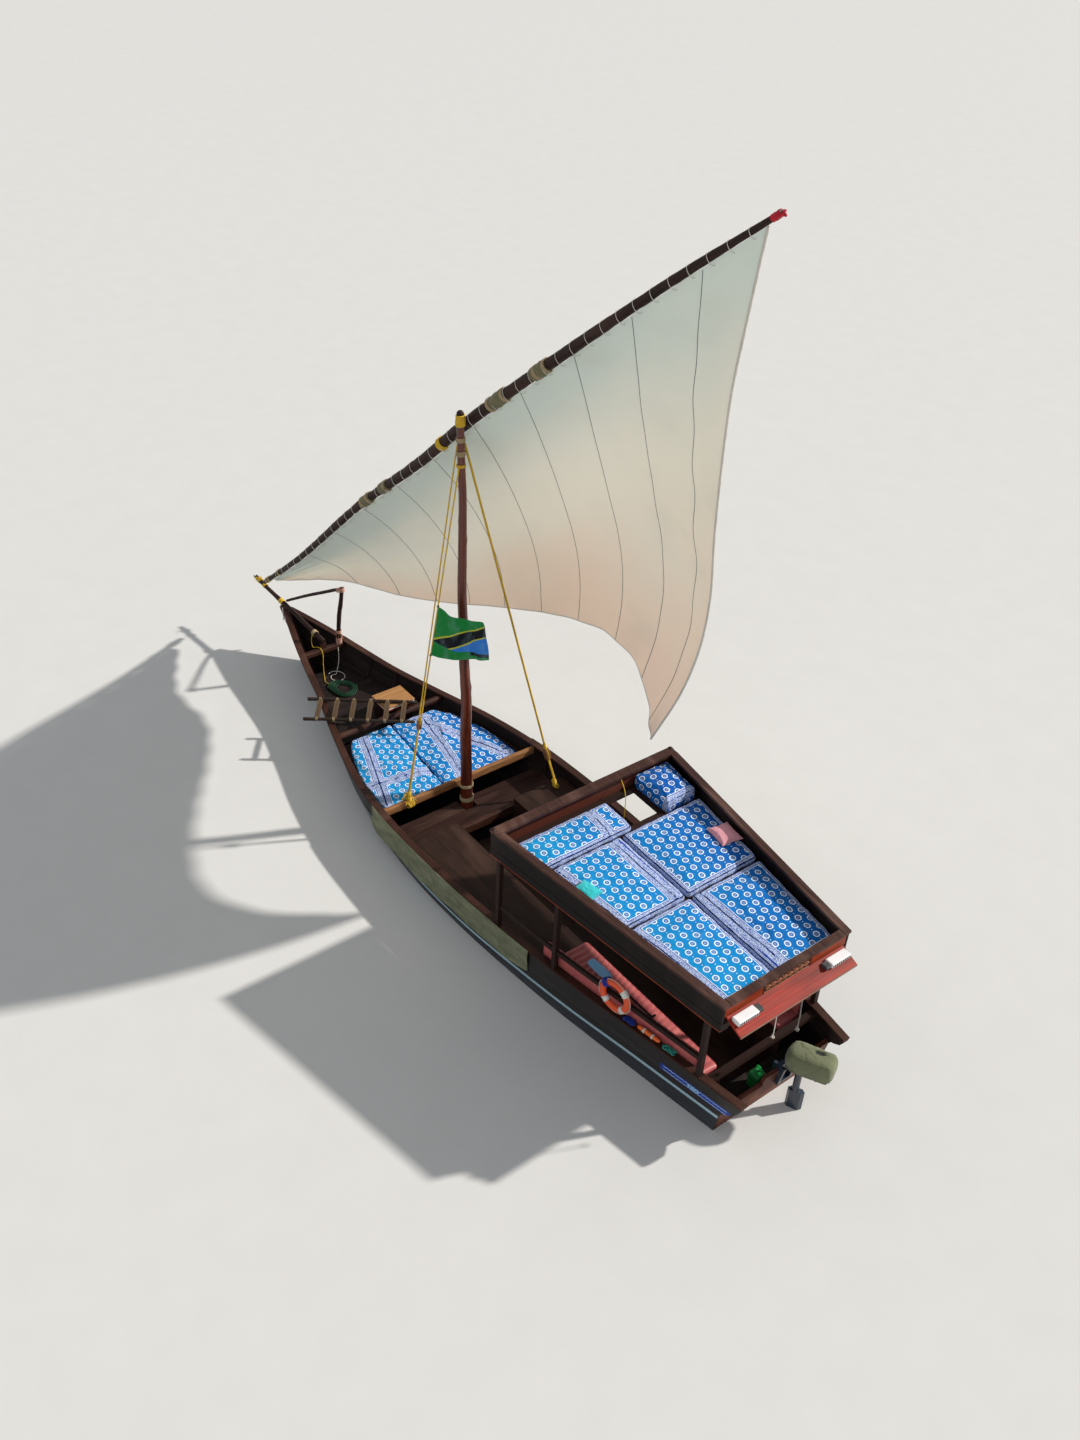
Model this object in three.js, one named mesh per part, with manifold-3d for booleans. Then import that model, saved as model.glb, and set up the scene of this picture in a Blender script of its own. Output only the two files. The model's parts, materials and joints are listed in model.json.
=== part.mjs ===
// A lateen-rigged wooden dhow with a raised sun roof and an outboard motor, afloat.
// Millimetres. +X forward, +Y to port, +Z up. The origin is on the centreplane at the waterline, amidships.
import * as THREE from "three";
import { mergeVertices } from "three/addons/utils/BufferGeometryUtils.js";
import Module from "manifold-3d";

const wasm = await Module();
wasm.setup();

// Driving dimensions of the hull
const GAP = 0.3; // between pieces that touch
const SEAT = 0.6; // between a piece and the planking that it is fitted to
const PLANK = 45; // thickness of the planking
const KEEL_HALF = 45; // half width of keel, stem and sternpost
const CAP = 35; // thickness of the gunwale cap
const CAP_OUT = 20; // overhang of the cap outside the planking
const CAP_IN = 60; // overhang of the cap inside the planking
const CAP_JOINTS = [0.56, 0.783]; // shares of the hull's length where the lengths of the port cap meet
const STERN_X = -6700;
const BOW_X = 6520;
const KEEL_BOTTOM_AFT = -980;
const KEEL_BOTTOM_FORE = -840;
const STEM_HEAD = { x: 6700, z: 900 };

// Hull sections, stern to bow. Columns: x, half breadth and height of the sheer, half breadth and height of
// the bilge corner that rounds the section, height of the rabbet where the planking meets keel or stem.
const SECTIONS = [
  [-6700, 975, 800, 1010, -240, -290],
  [-5750, 1120, 805, 1158, -300, -380],
  [-4900, 1245, 800, 1283, -330, -450],
  [-3900, 1395, 785, 1433, -360, -505],
  [-2900, 1505, 765, 1543, -380, -540],
  [-1700, 1595, 735, 1630, -390, -560],
  [-500, 1620, 700, 1635, -390, -565],
  [700, 1580, 670, 1500, -390, -565],
  [1900, 1405, 645, 1240, -380, -560],
  [3000, 1105, 645, 870, -350, -545],
  [4000, 800, 685, 535, -300, -525],
  [4800, 600, 745, 320, -220, -480],
  [5500, 410, 820, 190, -60, -300],
  [6100, 225, 880, 120, 400, 281],
  [6520, 78, 925, 60, 780, 729],
];
// Weight of the bilge corner: the after body is full down to the turn of the bilge, the bow is not.
const FULLNESS = { aft: 2.6, bow: 1.5, from: 0, to: 5000 };
const RINGS = 22; // lengths of planking along the hull
const GIRTH = 8; // facets round half a section

// Roof over the after half, in its own level frame: z is measured down from the top of the rim at the front.
const ROOF_FRONT = { x: -2230, half: 1650, z: 2480 };
const ROOF_AFT = { x: -6260, half: 1120, z: 2310 };
const RIM = { width: 120, thick: 45 };
const FASCIA = { deep: 450, thick: 35, inset: 20 };
const ROOF_FLOOR = { top: -340, thick: 30 };
const ROOF_BEAM = { deep: 90, wide: 80 };
const HATCH = { x: [-2950, -2350], y: [-800, -300] };
const POST = 70;
const POSTS_X = [-2350, -3500, -6000];
const SIDE_RAIL = { top: 1130, deep: 70, wide: 45 };

// Inside the hull
const SOLE = { top: -200, thick: 30, x: [-5950, 100] };
const BENCH = { top: 430, thick: 30, inner: 550, x: [-5950, 60] };
const MID_DECK = { top: 220, thick: 35, x: [130, 725] };
const BOW_DECK = { top: 380, thick: 35, x: [905, 2860] };
const FORE_DECK = { top: 300, thick: 35, x: [3000, 5120] };
const AFT_DECK = { top: 100, thick: 35, x: [-6290, -5960] };
const MAIN_THWART = { x: [735, 885], z: [500, 580] };
const BOW_THWART = { x: 2930, z: 546, radius: 60 };
const STERN_BEAM = { x: [-6130, -6040], z: [660, 740] };
const BOW_BEAM = { x: [5140, 5250], z: [655, 750] };
const LADDER_Z = 687; // underside of the ladder, on the gunwale cap and the locker

// Rig
const MAST = { foot: [571, -477.7], head: [900, 6920], radius: [105, 50] };
const STAY_RADIUS = 11;
const TACKLE_RADIUS = 24;
const SPAR = { heel: [5180, 893], tip: [7810, 999], radius: [50, 36] };
// Yard from heel to peak. Columns: x, y, z, radius.
const YARD = [
  [7330, 40, 1105, 40],
  [5920, -20, 2280, 55],
  [3820, -80, 4220, 72],
  [2110, -130, 5640, 82],
  [900, -172, 6740, 85],
  [-880, -240, 8210, 76],
  [-2720, -330, 9690, 56],
  [-3960, -410, 10640, 34],
];
// Foot of the sail from the tack to the clew. Columns: x, y, z.
const FOOT = [
  [6880, -60, 1330],
  [5130, -450, 2050],
  [3810, -800, 2300],
  [2500, -950, 2760],
  [1260, -1050, 3280],
  [-300, -1180, 3840],
  [-1130, -1250, 3960],
  [-1700, -1290, 3740],
  [-2040, -1300, 3150],
  [-2125, -1300, 2680],
];
// After edge of the sail between the peak and the clew. Columns: x, y, z.
const LEECH = [
  [-3510, -600, 9300],
  [-3290, -760, 8400],
  [-3050, -1060, 6570],
  [-3000, -1200, 5510],
  [-2850, -1290, 4630],
  [-2570, -1330, 3720],
];
const SAIL = { thick: 6, seat: 2.4, belly: 450, downSteps: 8 };

// Transom: its after face crosses the waterline at x and leans aft by `rake`. The board carries the motor.
const TRANSOM = { x: -6335, rake: 1 / 6, thick: 50, top: 450, boardTop: 580, board: [-480, 260], lip: [15, 5] };

// Outboard motor. It is steered to one side by `turn` and is drawn about its steering axis.
const TILT = { x: -6440, z: 700 };
const STEER = { x: -6650, y: -125, turn: 0.46 };
const SHAFT = { radius: 22, sides: 24, play: 0.35 }; // steering shaft in its bearing
const PAN = { under: 800, top: 850 };
const PROP = { x: -175, z: -300, half: 48 };

const group = new THREE.Group();

function look(color, roughness = 0.7, metalness = 0) {
  return new THREE.MeshStandardMaterial({ color, roughness, metalness });
}
const DARK_PLANK = look(0x1d1512, 0.75);
const BROWN = look(0x4a2418, 0.6);
const RED_WOOD = look(0x8e3d22, 0.55);
const TAN_WOOD = look(0xb07a45, 0.65);
const POLE = look(0x2b1a14, 0.7);
const ROPE = look(0xd9b64a, 0.9);
const CLOTH = look(0x2f7fc4, 0.95);
const SALMON = look(0xd4716a, 0.8);
const CANVAS = look(0xe2d9c6, 0.9);

function add(name, geometry, material) {
  const mesh = new THREE.Mesh(geometry, material);
  mesh.name = name;
  group.add(mesh);
  return mesh;
}

// Solids and booleans
function bare(geometry) {
  const corners = geometry.index ? geometry.toNonIndexed() : geometry;
  return new THREE.BufferGeometry().setAttribute("position", corners.getAttribute("position"));
}

function solid(geometry) {
  const merged = mergeVertices(bare(geometry), 1e-3);
  return new wasm.Manifold(
    new wasm.Mesh({
      numProp: 3,
      vertProperties: merged.attributes.position.array,
      triVerts: new Uint32Array(merged.index.array),
    }),
  );
}

function geometryOf(manifold) {
  const mesh = manifold.getMesh();
  const positions = new Float32Array(mesh.numVert * 3);
  for (let i = 0; i < mesh.numVert; i++)
    for (let k = 0; k < 3; k++) positions[3 * i + k] = mesh.vertProperties[i * mesh.numProp + k];
  const geometry = new THREE.BufferGeometry();
  geometry.setAttribute("position", new THREE.BufferAttribute(positions, 3));
  geometry.setIndex(new THREE.BufferAttribute(mesh.triVerts, 1));
  geometry.computeVertexNormals();
  return geometry;
}

const joined = (...parts) => geometryOf(parts.map(solid).reduce((a, b) => a.add(b)));
const common = (a, b) => geometryOf(solid(a).intersect(solid(b)));
const cut = (a, ...tools) => geometryOf(tools.map(solid).reduce((s, t) => s.subtract(t), solid(a)));
const mirrored = (geometry) => geometryOf(solid(geometry).mirror([0, 1, 0]));

// Shapes
function box(x, y, z) {
  const geometry = new THREE.BoxGeometry(x[1] - x[0], y[1] - y[0], z[1] - z[0]);
  return geometry.translate((x[0] + x[1]) / 2, (y[0] + y[1]) / 2, (z[0] + z[1]) / 2);
}

// A body through rings of points that run alike. An end is closed by pairing its first points with its last.
function loft(rings) {
  const count = rings[0].length;
  const positions = rings.flat().flatMap((p) => [p.x, p.y, p.z]);
  const index = [];
  for (let k = 0; k + 1 < rings.length; k++)
    for (let i = 0; i < count; i++) {
      const a = k * count + i;
      const b = k * count + ((i + 1) % count);
      index.push(a, a + count, b + count, a, b + count, b);
    }
  const last = (rings.length - 1) * count;
  for (let i = 0; i < count / 2 - 1; i++) {
    const far = count - 1 - i;
    index.push(i, i + 1, far - 1, i, far - 1, far);
    index.push(last + i, last + far - 1, last + i + 1, last + i, last + far, last + far - 1);
  }
  const geometry = new THREE.BufferGeometry();
  geometry.setAttribute("position", new THREE.Float32BufferAttribute(positions, 3));
  geometry.setIndex(index);
  return outward(geometry);
}

// A closed sheet between two grids of points, both split along the same diagonals.
function sheet(front, back) {
  const [rows, columns] = [front.length, front[0].length];
  const positions = [...front.flat(), ...back.flat()].flatMap((p) => [p.x, p.y, p.z]);
  const behind = rows * columns;
  const at = (i, j) => i * columns + j;
  const [lastRow, lastColumn] = [rows - 1, columns - 1];
  const index = [];
  const rim = [];
  for (let i = 0; i < lastRow; i++)
    for (let j = 0; j < lastColumn; j++) {
      const [a, b, c, d] = [at(i, j), at(i + 1, j), at(i + 1, j + 1), at(i, j + 1)];
      index.push(a, b, c, a, c, d);
      index.push(behind + a, behind + c, behind + b, behind + a, behind + d, behind + c);
    }
  for (let i = 0; i < lastRow; i++)
    rim.push([at(i, 0), at(i + 1, 0)], [at(i + 1, lastColumn), at(i, lastColumn)]);
  for (let j = 0; j < lastColumn; j++)
    rim.push([at(0, j + 1), at(0, j)], [at(lastRow, j), at(lastRow, j + 1)]);
  for (const [a, b] of rim) index.push(a, behind + a, behind + b, a, behind + b, b);
  const geometry = new THREE.BufferGeometry();
  geometry.setAttribute("position", new THREE.Float32BufferAttribute(positions, 3));
  geometry.setIndex(index);
  return outward(geometry);
}

function outward(geometry) {
  const p = geometry.attributes.position;
  const index = geometry.index.array;
  const [a, b, c] = [0, 1, 2].map(() => new THREE.Vector3());
  let volume = 0;
  for (let i = 0; i < index.length; i += 3) {
    a.fromBufferAttribute(p, index[i]);
    b.fromBufferAttribute(p, index[i + 1]);
    c.fromBufferAttribute(p, index[i + 2]);
    volume += a.dot(b.cross(c));
  }
  if (volume < 0)
    for (let i = 0; i < index.length; i += 3) [index[i + 1], index[i + 2]] = [index[i + 2], index[i + 1]];
  return geometry;
}

// A flat outline of [u, v] pairs, pushed through a thickness along "x", "y" or "z".
function plate(outline, axis, from, to) {
  const shape = new THREE.Shape(outline.map(([u, v]) => new THREE.Vector2(u, v)));
  const geometry = new THREE.ExtrudeGeometry(shape, { depth: to - from, bevelEnabled: false });
  geometry.translate(0, 0, from);
  if (axis !== "z") geometry.applyMatrix4(AXES[axis]);
  return outward(mergeVertices(bare(geometry), 1e-3));
}
// Which way u, v and the thickness of a plate point.
const AXES = {
  x: new THREE.Matrix4().set(0, 0, 1, 0, 1, 0, 0, 0, 0, 1, 0, 0, 0, 0, 0, 1),
  y: new THREE.Matrix4().set(1, 0, 0, 0, 0, 0, 1, 0, 0, 1, 0, 0, 0, 0, 0, 1),
};

const V = (x, y, z) => new THREE.Vector3(x, y, z);
const { lerp, clamp } = THREE.MathUtils;

// A pole through points with a radius at each; corner 0 of every ring points along `side`.
function pole(points, radii, sides = 8, side = V(0, 0, -1)) {
  const rings = points.map((p, k) => {
    const next = points[Math.min(k + 1, points.length - 1)];
    const along = next.clone().sub(points[Math.max(k - 1, 0)]).normalize();
    const first = side.clone().addScaledVector(along, -side.dot(along)).normalize();
    const second = along.clone().cross(first);
    return Array.from({ length: sides }, (_, i) => {
      const turn = (2 * Math.PI * i) / sides;
      return p
        .clone()
        .addScaledVector(first, Math.cos(turn) * radii[k])
        .addScaledVector(second, Math.sin(turn) * radii[k]);
    });
  });
  return loft(rings);
}
function rod(from, to, radius, sides = 8, end = radius) {
  const upright = Math.abs(to.z - from.z) > 0.9 * to.distanceTo(from);
  return pole([from, to], [radius, end], sides, upright ? V(1, 0, 0) : V(0, 0, -1));
}

// Hull surface
const columns = SECTIONS[0].length - 1;
const sectionCurve = new THREE.CubicInterpolant(
  SECTIONS.map((row) => row[0]),
  SECTIONS.flatMap((row) => row.slice(1)),
  columns,
);

function section(x) {
  const [half, sheer, bilgeHalf, bilgeZ, rabbet] = sectionCurve.evaluate(x);
  return { half, sheer, bilgeHalf, bilgeZ, rabbet };
}

// Points from the rabbet up to the top edge of the planking at x, moved inwards by `inset`.
function skin(x, inset = 0) {
  const s = section(x);
  const from = V(x, KEEL_HALF, s.rabbet + inset * 1.15);
  const corner = V(x, Math.max(s.bilgeHalf - inset, KEEL_HALF + 1), s.bilgeZ + inset);
  const to = V(x, Math.max(s.half - inset, KEEL_HALF + 2), s.sheer - CAP - GAP);
  const forward = clamp((x - FULLNESS.from) / (FULLNESS.to - FULLNESS.from), 0, 1);
  const weight = lerp(FULLNESS.aft, FULLNESS.bow, forward);
  return Array.from({ length: GIRTH + 1 }, (_, i) => {
    const t = i / GIRTH;
    const [a, b, c] = [(1 - t) ** 2, 2 * weight * t * (1 - t), t ** 2];
    return V(0, 0, 0)
      .addScaledVector(from, a)
      .addScaledVector(corner, b)
      .addScaledVector(to, c)
      .divideScalar(a + b + c);
  });
}

const ringsX = Array.from({ length: RINGS + 1 }, (_, i) => STERN_X + ((BOW_X - STERN_X) * i) / RINGS);

// The transom's after face. The planking ends on it below and runs on past it above, in an arched wing.
const aftFace = (z) => TRANSOM.x - TRANSOM.rake * z;
const STERN_CUT = [
  [-6900, -900],
  [aftFace(-900), -900],
  [aftFace(360), 360],
  [-6418, 438],
  [-6470, 485],
  [-6555, 525],
  [-6630, 600],
  [-6675, 710],
  [-6900, 730],
];

const planking = () => {
  const full = loft(ringsX.map((x) => [...skin(x), ...skin(x, PLANK).reverse()]));
  return cut(full, plate(STERN_CUT, "y", -10, 1200));
};

// Everything inside the planking, as one solid; pieces that fit the hull are cut to it.
function inside() {
  const half = loft(
    ringsX.map((x) => {
      const wall = skin(x, PLANK + SEAT).reverse();
      return [...wall, ...wall.map((p) => V(p.x, -1, p.z)).reverse()];
    }),
  );
  return joined(half, mirrored(half));
}
const hullInside = inside();
const fitted = (geometry) => common(geometry, hullInside);

const keelTop = (x) => section(x).rabbet + PLANK * 1.15 + 30;

// The keel from the side, its upper edge raised by `lift`. It ends in the sternpost that carries the transom.
function keelSide(lift) {
  const topX = [-6285, -5200, -4000, -2600, -1200, 200, 1600, 3000, 4300];
  return [
    [aftFace(KEEL_BOTTOM_AFT), KEEL_BOTTOM_AFT],
    [4300, KEEL_BOTTOM_FORE],
    ...topX.toReversed().map((x) => [x, keelTop(x) + lift]),
    [topX[0] - 1 - lift, keelTop(topX[0]) + lift],
  ];
}

// The cap on the sheer between two places along the port side.
function cap(from, to) {
  const between = ringsX.filter((x) => x > from && x < to);
  return loft(
    [from, ...between, to].map((x) => {
      const s = section(x);
      const outer = s.half + CAP_OUT;
      const inner = Math.max(s.half - PLANK - CAP_IN, KEEL_HALF + 15);
      return [
        V(x, inner, s.sheer - CAP),
        V(x, outer, s.sheer - CAP),
        V(x, outer, s.sheer),
        V(x, inner, s.sheer),
      ];
    }),
  );
}

function buildHull() {
  const port = planking();
  add("hull_port", port, DARK_PLANK);
  add("hull_starboard", mirrored(port), DARK_PLANK);

  // The port cap is laid in three lengths that meet end to end.
  const [aft, fore] = CAP_JOINTS.map((share) => ringsX[Math.round(share * RINGS)]);
  add("gunwale_port", cap(STERN_X, aft), BROWN);
  add("gunwale_port_mid", cap(aft + GAP, fore), BROWN);
  add("gunwale_port_fore", cap(fore + GAP, BOW_X), BROWN);
  add("gunwale_starboard", mirrored(cap(STERN_X, BOW_X)), BROWN);

  add("keel", plate(keelSide(0), "y", -KEEL_HALF + GAP, KEEL_HALF - GAP), DARK_PLANK);

  const rake = (STEM_HEAD.z + 200) / (STEM_HEAD.x - 5650);
  const normal = { x: Math.sin(Math.atan(rake)), z: -Math.cos(Math.atan(rake)) };
  const face = 105;
  const stem = [
    [4300 + GAP, KEEL_BOTTOM_FORE],
    [4700, -800],
    [5120, -690],
    [5450, -500],
    [5650 + face * normal.x, -200 + face * normal.z],
    [STEM_HEAD.x + 70, STEM_HEAD.z - 60],
    [STEM_HEAD.x + 20, STEM_HEAD.z],
    [STEM_HEAD.x - 190, STEM_HEAD.z],
    [6060, 330],
    [5560, -150],
    [5200, -330],
    [4800, -410],
    [4300 + GAP, keelTop(4300)],
  ];
  add("stem", plate(stem, "y", -KEEL_HALF + GAP, KEEL_HALF - GAP), BROWN);

  // The transom stands between the planks. It has a cap along its top and a higher board in the middle.
  const { x, thick, top, board, boardTop, lip } = TRANSOM;
  const wall = box([x, x + thick], [-1200, 1200], [-600, top]);
  const middle = box([x, x + thick], board, [0, boardTop]);
  const spans = [[-1200, board[0]], [board[1], 1200]];
  const rails = spans.map((span) => box([x - lip[0], x + thick + lip[1]], span, [top - 35, top]));
  const transom = cut(fitted(raked(joined(wall, middle, ...rails))), keelBelow());
  add("transom", transom, RED_WOOD);
}

// Leans a piece that is drawn upright aft with the transom.
function raked(geometry) {
  return geometry.applyMatrix4(
    new THREE.Matrix4().set(1, 0, -TRANSOM.rake, 0, 0, 1, 0, 0, 0, 0, 1, 0, 0, 0, 0, 1),
  );
}
const keelBelow = () => plate(keelSide(GAP), "y", -KEEL_HALF - GAP, KEEL_HALF + GAP);

function buildInside() {
  // The sole lies on bearers that cross the keel.
  const bearers = [-5400, -4300, -3200, -2100, -1000, 60].map((x) =>
    box([x - 35, x + 35], [-1300, 1300], [section(x).rabbet + PLANK, SOLE.top - 1]),
  );
  const boards = box(SOLE.x, [-1500, 1500], [SOLE.top - SOLE.thick, SOLE.top]);
  add("sole", cut(fitted(joined(boards, ...bearers)), keelBelow()), BROWN);

  const decks = [
    ["mid_deck", MID_DECK, BROWN],
    ["bow_deck", BOW_DECK, BROWN],
    ["foredeck", FORE_DECK, DARK_PLANK],
    ["aft_deck", AFT_DECK, DARK_PLANK],
  ];
  for (const [name, deck, material] of decks) {
    let boardsHere = box(deck.x, [-1600, 1600], [deck.top - deck.thick, deck.top]);
    if (name === "mid_deck") {
      const edge = box([deck.x[0] - 60, deck.x[0] + 20], [-1600, 1600], [deck.top - 120, deck.top + 40]);
      const hole = rod(mastAt(0), mastAt(600), mastRadius(220) + 12, 16);
      boardsHere = cut(joined(boardsHere, edge), hole);
    }
    add(name, fitted(boardsHere), material);
  }

  add("main_thwart", fitted(box(MAIN_THWART.x, [-1600, 1600], MAIN_THWART.z)), TAN_WOOD);
  const thwartEnd = (y) => V(BOW_THWART.x, y, BOW_THWART.z);
  const round = rod(thwartEnd(-1300), thwartEnd(1300), BOW_THWART.radius, 12);
  add("bow_thwart", fitted(round), RED_WOOD);
  add("stern_beam", fitted(box(STERN_BEAM.x, [-1100, 1100], STERN_BEAM.z)), POLE);

  // A bench along each side: a board on a riser that stands on the sole.
  const seat = box(BENCH.x, [BENCH.inner, 1600], [BENCH.top - BENCH.thick, BENCH.top]);
  const riser = box(BENCH.x, [BENCH.inner, BENCH.inner + 30], [SOLE.top + GAP, BENCH.top - 1]);
  const bench = fitted(joined(seat, riser));
  add("bench_port", bench, BROWN);
  add("bench_starboard", mirrored(bench), BROWN);

  add("bow_locker", box([3000, 3490], [-560, 30], [FORE_DECK.top + GAP, LADDER_Z - GAP]), TAN_WOOD);
}

// Mast
const mastShare = (z) => (z - MAST.foot[1]) / (MAST.head[1] - MAST.foot[1]);
const mastAxis = (z) => lerp(MAST.foot[0], MAST.head[0], mastShare(z));
const mastRadius = (z) => lerp(MAST.radius[0], MAST.radius[1], mastShare(z));
const mastAt = (z) => V(mastAxis(z), 0, z);

function buildRig() {
  const heights = [MAST.foot[1], 600, 2400, 4600, 6400, MAST.head[1]];
  add("mast", pole(heights.map(mastAt), heights.map(mastRadius), 12, V(0, 1, 0)), RED_WOOD);

  const sparEnds = [SPAR.heel, SPAR.tip].map(([x, z]) => V(x, 0, z));
  add("bow_spar", rod(...sparEnds, SPAR.radius[0], 10, SPAR.radius[1]), POLE);

  add("stay_port", stay(portHeads, portEnds, portBlock, portFoot), ROPE);
  const foot = V(-100, -1290, BENCH.top + GAP);
  const head = stayHead([6440, 0, -1]);
  const block = head.clone().lerp(foot, 0.885);
  add("stay_starboard", stay([head], [block], block, foot), ROPE);
}

// Where a stay's rope leaves the mast, from its height and the way that it lies off the mast.
const stayHead = ([z, fore, port]) => {
  const reach = mastRadius(z) + STAY_RADIUS + GAP;
  return V(mastAxis(z) + fore * reach, port * reach, z);
};
const portHeads = [
  [6400, 0.95, 0.32],
  [6120, -0.5, 0.87],
].map(stayHead);
const portFoot = V(808, 985, MAIN_THWART.z[1] + GAP);
const portBlock = portHeads[0].clone().lerp(portFoot, 0.76);
const portEnds = [24, -24].map((x) => portBlock.clone().add(V(x, 0, 0)));

// Stays: ropes from the mast head end in a block, and a tackle goes on to the boat.
function stay(heads, ends, block, foot) {
  const toward = (p, q, distance) => p.clone().addScaledVector(q.clone().sub(p).normalize(), distance);
  const ropes = heads.map((head, i) => rod(head, ends[i], STAY_RADIUS, 6));
  const shell = rod(toward(block, heads[0], 90), toward(block, foot, 110), 42, 8);
  const tackle = rod(block, foot.clone().setZ(foot.z + TACKLE_RADIUS * 0.4), TACKLE_RADIUS, 6);
  const pad = box(
    [foot.x - 45, foot.x + 45],
    [foot.y - 45, foot.y + 45],
    [foot.z, foot.z + 60],
  );
  return joined(...ropes, shell, tackle, pad);
}

// Yard and sail
const yardCurve = new THREE.CatmullRomCurve3(YARD.map((row) => V(row[0], row[1], row[2])));
const footCurve = new THREE.CatmullRomCurve3(FOOT.map((row) => V(...row)));
const YARD_STEPS = 24;
const SAIL_FROM = 0.028; // share of the yard's length between its heel and the tack
const SAIL_TO = 0.985;

const yardPoint = (t) => yardCurve.getPointAt(t);

function yardRadius(t) {
  const x = yardPoint(t).x;
  const k = Math.max(1, YARD.findIndex((row) => row[0] <= x + 1e-6));
  const [a, b] = [YARD[k - 1], YARD[k]];
  return a[3] + ((b[3] - a[3]) * (x - a[0])) / (b[0] - a[0]);
}

// From the yard towards the foot of the sail, square to the yard.
function yardDown(t) {
  const along = yardCurve.getTangentAt(t);
  const down = V(-0.35, -0.12, -1);
  return down.addScaledVector(along, -down.dot(along)).normalize();
}

function yardTube(extra) {
  const shares = Array.from({ length: YARD_STEPS + 1 }, (_, i) => lerp(SAIL_FROM, SAIL_TO, i / YARD_STEPS));
  const all = [0, ...shares, 1];
  const rings = all.map((t) => {
    const first = yardDown(t);
    const second = yardCurve.getTangentAt(t).cross(first);
    const radius = yardRadius(t) + extra;
    return Array.from({ length: 8 }, (_, i) => {
      const turn = (2 * Math.PI * i) / 8;
      return yardPoint(t)
        .addScaledVector(first, Math.cos(turn) * radius)
        .addScaledVector(second, Math.sin(turn) * radius);
    });
  });
  return loft(rings);
}

// The edge of the sail along the yard.
function sailHead(u) {
  const t = lerp(SAIL_FROM, SAIL_TO, u);
  return yardPoint(t).addScaledVector(yardDown(t), yardRadius(t) + SAIL.seat);
}
const leechCurve = new THREE.CatmullRomCurve3([
  sailHead(1),
  ...LEECH.map((row) => V(...row)),
  footCurve.getPointAt(1),
]);

// A point of the sail: u runs along the yard from the tack to the peak, v from the yard down to the foot.
function sailPoint(u, v) {
  const straight = (share) => sailHead(share).lerp(footCurve.getPointAt(share), v);
  const leech = leechCurve.getPointAt(v).sub(straight(1));
  const belly = SAIL.belly * Math.sin(Math.PI * u) * 4 * v * (1 - v);
  return straight(u).addScaledVector(leech, u ** 3).add(V(0, -belly, 0));
}

function sailGeometry() {
  const [across, down] = [YARD_STEPS, SAIL.downSteps];
  const grid = (offset) =>
    Array.from({ length: across + 1 }, (_, i) =>
      Array.from({ length: down + 1 }, (_, j) => {
        const [u, v] = [i / across, j / down];
        const p = sailPoint(u, v);
        const e = 0.01;
        const du = sailPoint(Math.min(1, u + e), v).sub(sailPoint(Math.max(0, u - e), v));
        const dv = sailPoint(u, Math.min(1, v + e)).sub(sailPoint(u, Math.max(0, v - e)));
        return p.addScaledVector(du.cross(dv).normalize(), offset);
      }),
    );
  return sheet(grid(SAIL.thick / 2), grid(-SAIL.thick / 2));
}

function buildSail() {
  add("yard", yardTube(0), POLE);
  add("sail", sailGeometry(), CANVAS);

  // The parrel holds the yard to the mast: a ring round the mast with a strap to the yard.
  const height = 6740;
  const facets = 24;
  const inner = (mastRadius(height - 30) + 0.35) / Math.cos(Math.PI / facets);
  const profile = [[inner, -30], [inner + 26, -30], [inner + 26, 30], [inner, 30], [inner, -30]];
  const ring = new THREE.LatheGeometry(profile.map(([r, z]) => new THREE.Vector2(r, z)), facets);
  ring.rotateX(Math.PI / 2);
  ring.rotateY(Math.atan2(MAST.head[0] - MAST.foot[0], MAST.head[1] - MAST.foot[1]));
  ring.translate(mastAxis(height), 0, height);
  const strap = box(
    [mastAxis(height) - 30, mastAxis(height) + 30],
    [-120, -inner - 6],
    [height - 28, height + 28],
  );
  add("parrel", cut(joined(ring, strap), yardTube(GAP)), ROPE);
}

// Foredeck gear
function buildBowGear() {
  const top = V(5170, -420, 1880);
  const knee = V(5225, -375, 1320);
  const foot = V(5196, -326, BOW_BEAM.z[1] - 18);
  const post = pole([foot, knee, top], [42, 40, 36], 8);
  const sparAt = (x) => lerp(SPAR.heel[1], SPAR.tip[1], (x - SPAR.heel[0]) / (SPAR.tip[0] - SPAR.heel[0]));
  const barEnd = V(6720, -(SPAR.radius[0] + 30), sparAt(6720));
  const bar = rod(V(5140, -428, 1898), barEnd, 30, 8, 26);
  const beam = fitted(box(BOW_BEAM.x, [-460, 460], BOW_BEAM.z));
  const saddle = box([5190, 5240], [-60, 60], [BOW_BEAM.z[1] - 5, sparAt(5190) - SPAR.radius[0] - GAP]);
  add("gallows", joined(beam, post, bar, saddle), POLE);

  // A ladder lies over the port gunwale and the bow thwart.
  const LADDER = { start: [3980, 1020], along: [-0.6, -0.8], across: [-0.8, 0.6], length: 1900, width: 580 };
  const rail = 32;
  const z = LADDER_Z + rail;
  const place = (s, w) =>
    V(
      LADDER.start[0] + LADDER.along[0] * s + LADDER.across[0] * w,
      LADDER.start[1] + LADDER.along[1] * s + LADDER.across[1] * w,
      z,
    );
  const rails = [0, LADDER.width].map((w) => rod(place(0, w), place(LADDER.length, w), rail, 8));
  const rungs = [230, 520, 810, 1100, 1390, 1680].map((s) => {
    const slat = box([-45, 45], [0, LADDER.width], [-12, 12]);
    slat.rotateZ(Math.atan2(LADDER.across[1], LADDER.across[0]) - Math.PI / 2);
    return slat.translate(place(s, 0).x, place(s, 0).y, z);
  });
  add("ladder", joined(...rails, ...rungs), TAN_WOOD);
}

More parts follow.
